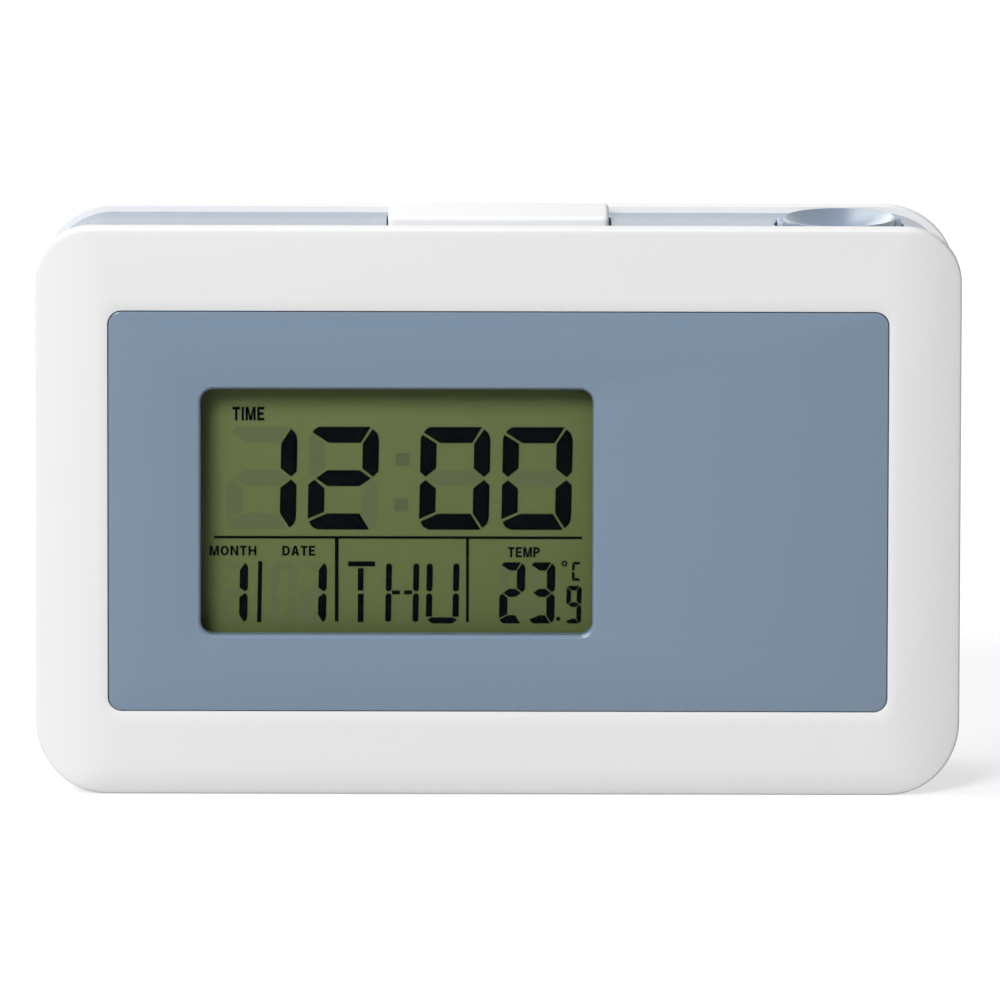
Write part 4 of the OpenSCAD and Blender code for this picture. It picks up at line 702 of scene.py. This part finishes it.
# Outline of one capital, one unit high; closed letters are cut through by a hairline
def letterOutlines(name):
    w, s = letterWidths[name], letterStroke
    m, k = w / 2, s * 1.2
    if name == "I":
        return [[(0, 0), (w, 0), (w, 1), (0, 1)]]
    if name == "T":
        return [[(m - s / 2, 0), (m + s / 2, 0), (m + s / 2, 1 - s), (w, 1 - s), (w, 1), (0, 1), (0, 1 - s),
                 (m - s / 2, 1 - s)]]
    if name == "M":
        return [[(0, 0), (s, 0), (s, 0.64), (m - s / 2, 0), (m + s / 2, 0), (w - s, 0.64), (w - s, 0),
                 (w, 0), (w, 1), (w - k, 1), (m, 0.3), (k, 1), (0, 1)]]
    if name == "E":
        return [[(0, 0), (w, 0), (w, s), (s, s), (s, 0.41), (w - 0.06, 0.41), (w - 0.06, 0.41 + s),
                 (s, 0.41 + s), (s, 1 - s), (w, 1 - s), (w, 1), (0, 1)]]
    if name == "N":
        return [[(0, 0), (s, 0), (s, 0.68), (w - s, 0), (w, 0), (w, 1), (w - s, 1), (w - s, 0.32),
                 (s, 1), (0, 1)]]
    if name == "H":
        return [[(0, 0), (s, 0), (s, 0.41), (w - s, 0.41), (w - s, 0), (w, 0), (w, 1), (w - s, 1),
                 (w - s, 0.41 + s), (s, 0.41 + s), (s, 1), (0, 1)]]
    if name == "A":
        low, high = 0.21, 0.21 + s * 0.9    # of the cross bar
        a, b = [k + (m - k) * level / 0.8 for level in (low, high)]
        return [[(0, 0), (k, 0), (m, 0.8), (w - k, 0), (w, 0), (m + s * 0.62, 1), (m - s * 0.62, 1)],
                [(a, low), (w - a, low), (w - b, high), (b, high)]]
    def bend(inset, low, high):    # right half of a round shape
        return [(m + (m - inset) * math.cos(math.radians(t)),
                 (low + high) / 2 + ((high - low) / 2 - inset) * math.sin(math.radians(t)))
                for t in range(-90, 91, 15)]
    if name == "O":
        turns = [math.radians(t) for t in [90.6] + list(range(105, 450, 15)) + [449.4]]
        outer, inner = [[(m + (m - g) * math.cos(t), 0.5 + (0.5 - g) * math.sin(t)) for t in turns]
                        for g in (0, s)]
    elif name == "D":
        outer = [(0, 0.498), (0, 0)] + bend(0, 0, 1) + [(0, 1), (0, 0.502)]
        inner = [(s, 0.498), (s, s)] + bend(s, 0, 1) + [(s, 1 - s), (s, 0.502)]
    else:
        outer = [(0, 0.698), (0, 0), (s, 0), (s, 0.38)] + bend(0, 0.38, 1) + [(0, 1), (0, 0.702)]
        inner = [(s, 0.698), (s, 0.38 + s)] + bend(s, 0.38, 1) + [(s, 1 - s), (s, 0.702)]
    return [outer + inner[::-1]]

def makeLegends():
    bm = bmesh.new()
    for word, left, right, low, high in legends:
        total = sum(letterWidths[name] for name in word) + letterGap * (len(word) - 1)
        wide, place = (right - left) / total, left
        for name in word:
            for outline in letterOutlines(name):
                addTile(bm, [(place + u * wide, low + v * (high - low)) for u, v in outline])
            place += (letterWidths[name] + letterGap) * wide
    finishPiece(bm, "displayLegends", "case", "black_plastic", finish=ownFinishes["ink"])

def makeDisplayGlass():
    for name, front, back, slotName, nodes in (
            ("displayBack", display["filmAt"], display["glassBack"], "display_green", ["lcd_glass"]),
            ("displayFront", display["glassFront"], display["filmAt"] - 0.02, "clear_window", [])):
        bm = bmesh.new()
        outline = roundedOutline(display["glassWidth"], display["glassHeight"], 0.5, window["midX"],
                                 display["glassMid"], corner=3)
        loops = addPlate(bm, outline, front, back)
        roundEdges(bm, loops[0] + loops[1], 0.08, 2)
        finishPiece(bm, name, "case", slotName, nodes)

makeDisplayGlass()
makeTimeDigits()
makeRules()
makeDateRow()
makeRoundMarks()
makeGhosts()
makeLegends()
print("display made")


# ---- middle frame ----
band = dict(inset=1.1, wall=1.6, cheekInner=9.8, cheekWall=1.6, cheekHalf=4, cheekLow=79.6, cheekDrop=0.6,
            guideX=17.95, guideWall=1.6, guideHalf=6.5, hangLow=77.5, hangBossX=20.55, hangBossRadius=2,
            postRadius=3, postBore=1.3, postFront=12, postBack=20, ribWall=1.6,
            lugRadius=2.6, lugBore=1.05, lugFront=7, lugBack=9)
screwSpots = ((-52, 12), (52, 12), (-30, 75), (30, 75))    # screws through the rear case
snooze = dict(width=33.4, depth=12.8, radius=1, low=83.2, flangeTop=84.2, top=87.9, flange=1, gap=0.25,
              wall=1.3, edgeRound=0.7, stemRadius=2.2, stemLow=82.1, at=13)

def makeMiddleFrame():
    bm = bmesh.new()
    inset, wall = band["inset"], band["wall"]
    front, back = clock["bezelBack"], clock["frameBack"]
    loops = [frontLoop(caseOutline(inset), front), frontLoop(caseOutline(inset), back),
             frontLoop(caseOutline(inset + wall), back), frontLoop(caseOutline(inset + wall), front)]
    skinLoops(bm, loops, ring=True)
    piece = bmToObject(bm, "middleBand")
    cutter = bmesh.new()
    floor = clock["height"] - inset
    slot = [levelLoop(grownOutline(grow, snooze["width"], snooze["depth"], snooze["radius"], corner=6),
                      height, snooze["at"])
            for grow, height in ((snooze["gap"], floor - wall - 1), (snooze["gap"], floor - 0.15),
                                 (snooze["gap"] + 0.15, floor), (snooze["gap"] + 0.15, floor + 1))]
    skinLoops(cutter, slot)
    hole, mouth = bowl["hole"], bowl["hole"] + 0.3
    addTurned(cutter, [(0, -6), (hole, -6), (hole, 1.1), (mouth, 1.35), (mouth, 3), (0, 3)],
              (bowl["x"], bowl["at"], bowl["pivot"]), (0, 0, 1), 72)
    cutAway(piece, cutter)
    inside = reopen(piece)
    for side in (-1, 1):     # bearing cheeks under the floor
        x = bowl["x"] + side * (band["cheekInner"] + band["cheekWall"] / 2)
        low, top = band["cheekLow"], clock["height"] - inset - wall
        if side > 0:         # the right one stays under the floor's bend
            top -= band["cheekDrop"]
        outline = roundedOutline(band["cheekWall"], top - low, 0.3, x, (top + low) / 2, 3)
        addPlate(inside, outline, bowl["at"] - band["cheekHalf"], bowl["at"] + band["cheekHalf"])
    addFrameFittings(inside)
    finishPiece(inside, "middleBandShell", "case", "blue_grey_shell", ["middle_frame"])

def addFrameFittings(bm):
    under = clock["height"] - band["inset"] - band["wall"] + 0.1
    wall = band["inset"] + band["wall"] - 0.1
    half, low = band["guideHalf"], band["hangLow"]
    for side in (-1, 1):     # guides and bosses under the snooze bar
        edges = sorted((side * band["guideX"], side * (band["guideX"] + band["guideWall"])))
        addBlock(bm, *edges, low, under, snooze["at"] - half, snooze["at"] + half)
        radius, bore = band["hangBossRadius"], bezel["bossBore"]
        addTurned(bm, [(bore, low), (radius, low), (radius, under), (bore, under), (bore, low)],
                  (side * band["hangBossX"], snooze["at"], 0), (0, 0, 1), steps=28)
    for x, z in screwSpots:
        addPost(bm, x, z, band["postRadius"], band["postBore"], band["postFront"], band["postBack"])
        toWall = math.copysign(1, z - clock["height"] / 2)
        ends = sorted((z + toWall * (band["postRadius"] - 0.3),
                       wall if toWall < 0 else clock["height"] - wall))
        addBlock(bm, x - band["ribWall"] / 2, x + band["ribWall"] / 2, *ends,
                 band["postFront"], band["postBack"])
    for x, z in bezelScrews:
        addPost(bm, x, z, band["lugRadius"], band["lugBore"], band["lugFront"], band["lugBack"])
        side = math.copysign(1, x)
        edges = sorted((x + side * 1.3, side * (clock["width"] / 2 - clock["shellSide"] - wall)))
        addBlock(bm, *edges, z - band["lugRadius"], z + band["lugRadius"], band["lugFront"], band["lugBack"])

makeMiddleFrame()
print("middle frame made")


# ---- rear case ----
rear = dict(fillet=8, wall=2, edgeRound=0.22, innerBack=29.6, tongueFront=20.6, collarBack=23.4,
            keyBosses=(-48.5, 22.5), keyBossRadius=2.5, keyBossFront=22.4)
keys = dict(first=-39, pitch=13, height=62, width=9, tall=5, gap=0.25, proud=0.8, flangeAt=28.5,
            stemRadius=1.6, stemAt=27.3, names=("mode", "set", "up", "down", "alarm"))
switch = dict(x=32, travel=2.5, width=3, tall=2.6, gap=0.25, proud=0.6, ridge=0.3, bladeHalf=0.75,
              bladeFront=24.4)
tray = dict(halfWidth=25.05, low=10.3, high=43.0, floor=18.6, wall=1.2, ledge=3.1)
door = dict(halfWidth=28.55, hingeZ=10.5, hingeAt=30.6, hingeRadius=1, top=43.4, front=29.9, gap=0.15,
            gripWidth=14, gripPitch=1.4, gripMid=37.4, gripDepth=0.3, pinRadius=0.55, pinLength=1.4)
scoopProfile = [(0, -0.9), (3.6, -0.9), (4.3, -0.75), (4.75, -0.4), (5, 0), (5, 1), (0, 1)]
tubeProfile = [(1.4, 20), (3.9, 20), (3.9, 29.8), (2.6, 29.8), (2.6, 24), (1.4, 24), (1.4, 20)]
soundSpots = [(-46, 30)] + arcPoints(4, 0, 300, 5, -46, 30)

# Cutter with a mouth that flares at the rear face, so that the cut has a small chamfer
def addMouthCutter(bm, mouth, *sizes):
    back = clock["caseBack"]
    skinLoops(bm, [frontLoop(grownOutline(grow, *sizes), depth) for grow, depth in (
        (0, rear["innerBack"] - 1), (0, back - mouth), (mouth, back), (mouth, back + 1))])

def rearCutters():
    bm = bmesh.new()
    gap, z = keys["gap"], keys["height"]
    for number in range(len(keys["names"])):
        addMouthCutter(bm, 0.25, keys["width"] + 2 * gap, keys["tall"] + 2 * gap,
                       keys["tall"] / 2 + gap - 0.01, keys["first"] + number * keys["pitch"], z, 10)
    addMouthCutter(bm, 0.15, switch["width"] + switch["travel"] + 2 * switch["gap"],
                   switch["tall"] + 2 * switch["gap"], 0.3, switch["x"], z, 3)
    low, high = door["hingeZ"] - door["hingeRadius"] - door["gap"], door["top"] + door["gap"]
    addMouthCutter(bm, 0.12, 2 * (door["halfWidth"] + door["gap"]), high - low, 0.3, 0, (low + high) / 2, 3)
    for x, z in soundSpots:
        addMouthCutter(bm, 0.15, 1.5, 1.5, 0.749, x, z, 4)
    for x, z in screwSpots:
        addMouthCutter(bm, 0.2, 5.2, 5.2, 2.599, x, z, 8)
    return bm

def scoopCutter():
    bm = bmesh.new()
    addTurned(bm, scoopProfile, (0, clock["caseBack"], door["top"]), (0, 1, 0), steps=48)
    return bm

def makeRearCase():
    bm = bmesh.new()
    front, back = clock["frameBack"], clock["caseBack"]
    loops = []
    for inset, depth in reversed(arcPoints(rear["fillet"], 0, 90, 12)):
        loops.append(frontLoop(caseOutline(rear["fillet"] - inset), back - rear["fillet"] + depth))
    frontEdge = len(loops)
    loops.append(frontLoop(caseOutline(0), front))
    loops.append(frontLoop(caseOutline(rear["wall"]), front))
    innerFillet = rear["fillet"] - rear["wall"]
    for inset, depth in arcPoints(innerFillet, 0, 90, 8):
        loops.append(frontLoop(caseOutline(rear["fillet"] - inset), rear["innerBack"] - innerFillet + depth))
    roundEdges(bm, skinLoops(bm, loops)[frontEdge], rear["edgeRound"], 3)
    piece = bmToObject(bm, "rearCaseShell")
    cutAway(piece, scoopCutter())
    cutAway(piece, rearCutters())
    lip, tongueEnd, wall = bezel["lip"], bezel["lip"] + bezel["tongue"], rear["wall"] - 0.1
    bm = bmesh.new()
    skinLoops(bm, [frontLoop(caseOutline(inset), depth) for inset, depth in (
        (lip, rear["tongueFront"]), (tongueEnd, rear["tongueFront"]), (tongueEnd, rear["collarBack"]),
        (wall, rear["collarBack"]), (wall, front + 0.1), (lip, front + 0.1))], ring=True)
    collar = bmToObject(bm, "rearCollar")
    cutAway(collar, headNotch(rear["tongueFront"] - 1, front - 0.01))
    inside = reopen(piece, collar)
    addTray(inside)
    for x in rear["keyBosses"]:
        addPost(inside, x, keys["height"], rear["keyBossRadius"], bezel["bossBore"], rear["keyBossFront"],
                rear["innerBack"] + 0.1)
    for x, z in screwSpots:     # tubes down to the screw heads
        addTurned(inside, tubeProfile, (x, 0, z), (0, 1, 0), steps=36)
    finishPiece(inside, "rearCase", "case", "white_shell", ["rear_case"], smooth=28)

def addTray(bm):
    mid, height = (tray["low"] + tray["high"]) / 2, tray["high"] - tray["low"]
    rim = rear["innerBack"] - 0.02
    def outline(grow):
        return roundedOutline(2 * (tray["halfWidth"] + grow), height + 2 * min(grow, 1.2), 0.6, 0, mid, 4)
    wall, flange = tray["wall"], tray["wall"] + tray["ledge"]
    skinLoops(bm, [frontLoop(outline(grow), depth) for grow, depth in (
        (0, tray["floor"]), (0, rim), (flange, rim), (flange, rim - 1), (wall, rim - 1),
        (wall, tray["floor"] - wall))])

def makeDoor():
    bm = bmesh.new()
    back, half = clock["caseBack"], door["halfWidth"]
    profile = [(back, door["top"]), (door["front"], door["top"]), (door["front"], door["hingeZ"] + 0.72)]
    profile += arcPoints(door["hingeRadius"], 134, 360, 16, door["hingeAt"], door["hingeZ"])
    ends = skinLoops(bm, [[Vector((x, depth - clock["halfDepth"], z)) for depth, z in profile]
                          for x in (-half, half)])
    topEdges = [edge for edge in bm.edges
                if all(abs(v.co.z - door["top"]) < 1e-4 and v.co.y > back - clock["halfDepth"] - 0.01
                       for v in edge.verts)]
    roundEdges(bm, ends[0] + ends[1] + topEdges, 0.12, 2)
    piece = bmToObject(bm, "batteryDoorPanel")
    cutter = bmesh.new()
    for step in range(-2, 3):
        z = door["gripMid"] + step * door["gripPitch"]
        skinLoops(cutter, [
            frontLoop(grownOutline(grow, door["gripWidth"], 0.5, 0.24, 0, z, 5), depth)
            for grow, depth in ((0, back - door["gripDepth"]), (0.12, back), (0.12, back + 1))])
    cutAway(piece, cutter)
    inside = reopen(piece)
    radius, start, end = door["pinRadius"], half - 0.2, half + door["pinLength"]
    for side in (-1, 1):     # hinge pins
        addTurned(inside, [(0, start), (radius, start), (radius, end - 0.15), (radius - 0.1, end), (0, end)],
                  (0, door["hingeAt"], door["hingeZ"]), (side, 0, 0), steps=24)
    finishPiece(inside, "batteryDoorPanel", "door", "white_shell", ["battery_door"])

def makeKeys():
    for number, name in enumerate(keys["names"]):
        bm = bmesh.new()
        x, z = keys["first"] + number * keys["pitch"], keys["height"]
        def outline(grow):
            return grownOutline(grow, keys["width"], keys["tall"], keys["tall"] / 2 - 0.01, x, z, 12)
        flangeBack = keys["flangeAt"] + 1
        tip = clock["caseBack"] + keys["proud"]
        loops = [frontLoop(outline(1), keys["flangeAt"]), frontLoop(outline(1), flangeBack),
                 frontLoop(outline(0), flangeBack), frontLoop(outline(0), tip - 0.45)]
        for grow, drop in ((-0.1, 0.2), (-0.3, 0.08), (-0.7, 0.03), (-1.5, 0)):
            loops.append(frontLoop(outline(grow), tip - drop))
        skinLoops(bm, loops)
        addPost(bm, x, z, keys["stemRadius"], 0, keys["stemAt"], keys["flangeAt"] + 0.2)
        finishPiece(bm, name + "KeyCap", name + "_key", "white_shell", ["key_" + name], smooth=45)

def makeSwitchKnob():
    bm = bmesh.new()
    x, back = switch["x"] - switch["travel"] / 2, clock["caseBack"] + switch["proud"]
    z, flange, half, floor = keys["height"], keys["flangeAt"], switch["width"] / 2, back - switch["ridge"]
    outline = [(x - half, flange + 0.5), (x - half, back - 0.1), (x - half + 0.1, back)]
    for middle in (x - 0.8, x, x + 0.8):     # grip grooves
        outline += [(middle - 0.2, back), (middle - 0.08, floor),
                    (middle + 0.08, floor), (middle + 0.2, back)]
    outline += [(x + half - 0.1, back), (x + half, back - 0.1), (x + half, flange + 0.5)]
    skinLoops(bm, [levelLoop(outline, z + side * switch["tall"] / 2, 0) for side in (-1, 1)])
    base = roundedOutline(switch["width"] + switch["travel"] + 2.6, switch["tall"] + 2.4, 0.4, x, z, 4)
    addPlate(bm, base, flange, flange + 1)
    addBlock(bm, x - half, x + half, z - switch["bladeHalf"], z + switch["bladeHalf"],
             switch["bladeFront"], flange + 0.1)
    finishPiece(bm, "switchKnobCap", "switch", "white_shell", ["switch_knob"])

makeRearCase()
makeDoor()
makeKeys()
makeSwitchKnob()
print("rear pieces made")


# ---- snooze bar and its return springs ----
spring = dict(x=11, low=77.55, high=86.55, radius=1.9, wire=0.25, turns=6, travel=0.8, stubRadius=1.25,
              stubLength=1.6)

def makeSnoozeBar():
    bm = bmesh.new()
    def loop(grow, height, radius=None):
        return levelLoop(roundedOutline(snooze["width"] + 2 * grow, snooze["depth"] + 2 * grow,
                                        radius or snooze["radius"] + max(grow, 0), corner=8),
                         height, snooze["at"])
    roof = snooze["top"] - snooze["wall"]
    made = skinLoops(bm, [loop(-snooze["wall"], roof, 0.3), loop(-snooze["wall"], snooze["low"], 0.3),
                          loop(snooze["flange"], snooze["low"]), loop(snooze["flange"], snooze["flangeTop"]),
                          loop(0, snooze["flangeTop"]), loop(0, snooze["top"])])
    roundEdges(bm, made[-1], snooze["edgeRound"], 5)
    stubLow, stub = roof - spring["stubLength"], spring["stubRadius"]
    for x, low, radius, steps in ((0, snooze["stemLow"], snooze["stemRadius"], 36),     # stem on the switch
                                  (-spring["x"], stubLow, stub, 24), (spring["x"], stubLow, stub, 24)):
        addTurned(bm, [(0, low), (radius - 0.1, low), (radius, low + 0.1), (radius, roof + 0.3),
                       (0, roof + 0.3)], (x, snooze["at"], 0), (0, 0, 1), steps)
    finishPiece(bm, "snoozeBarCap", "snooze", "white_shell", ["snooze_bar"], smooth=40)

def makeSprings():
    bm = bmesh.new()
    rise = spring["high"] - spring["low"] - 2 * spring["wire"]
    steps = spring["turns"] * 20
    for side in (-1, 1):
        centre = Vector((side * spring["x"], snooze["at"] - clock["halfDepth"],
                         spring["low"] + spring["wire"]))
        ring = bmesh.ops.create_circle(bm, cap_ends=True, segments=8, radius=spring["wire"],
                                       matrix=Matrix.Translation(centre + Vector((spring["radius"], 0, 0)))
                                       @ Matrix.Rotation(math.pi / 2, 4, "X"))
        faces = list({face for vert in ring["verts"] for face in vert.link_faces})
        edges = list({edge for vert in ring["verts"] for edge in vert.link_edges})
        bmesh.ops.spin(bm, geom=ring["verts"] + edges + faces, cent=centre, axis=(0, 0, 1),
                       dvec=(0, 0, rise / steps), angle=math.tau * spring["turns"], steps=steps)
    piece = finishPiece(bm, "snoozeSprings", "case", "bright_steel", ["snooze_springs"], smooth=60)
    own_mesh(piece)


# ---- projector bowl ----
shell = dict(rimRadius=8.5, rimHeight=2.2, holeRadius=3.6, holeLow=-6.6, dishRadius=11.5, dishMid=10.16,
             angles=(13.9, 10, 5, 0, -5, -10, -16, -22, -28, -34, -40, -45, -48.74),    # down the outside
             pins={-1: (0.9, 11.3), 1: (0.6, 10.4)})    # radius and reach; the right one clears the floor

def makeProjectorBowl():
    bm = bmesh.new()
    ball = math.hypot(shell["rimRadius"], shell["rimHeight"])
    outside = [(ball * math.cos(math.radians(a)), ball * math.sin(math.radians(a))) for a in shell["angles"]]
    dish = arcPoints(shell["dishRadius"], -71.8, -43.8, 14, 0, shell["dishMid"])      # part of a sphere
    foot = [(shell["holeRadius"], shell["holeLow"])]
    centre = (bowl["x"], bowl["at"], bowl["pivot"])
    addTurned(bm, foot + dish + [(8.37, 2.2), (8.45, 2.19)] + outside + foot, centre, (0, 0, 1), steps=96)
    for side in (-1, 1):
        thick, reach = shell["pins"][side]
        boss = [(0, 8), (2.1, 8), (2.1, 9.2), (1.98, 9.35), (1.8, 9.4), (thick, 9.4), (thick, reach - 0.1),
                (thick - 0.1, reach), (0, reach)]
        addTurned(bm, boss, centre, (side, 0, 0), steps=36)
    finishPiece(bm, "projectorBowl", "projector", "blue_grey_shell", ["projector_head"],
                ownFinishes["bowl"], smooth=40)

makeSnoozeBar()
makeSprings()
makeProjectorBowl()
print("moving top pieces made")
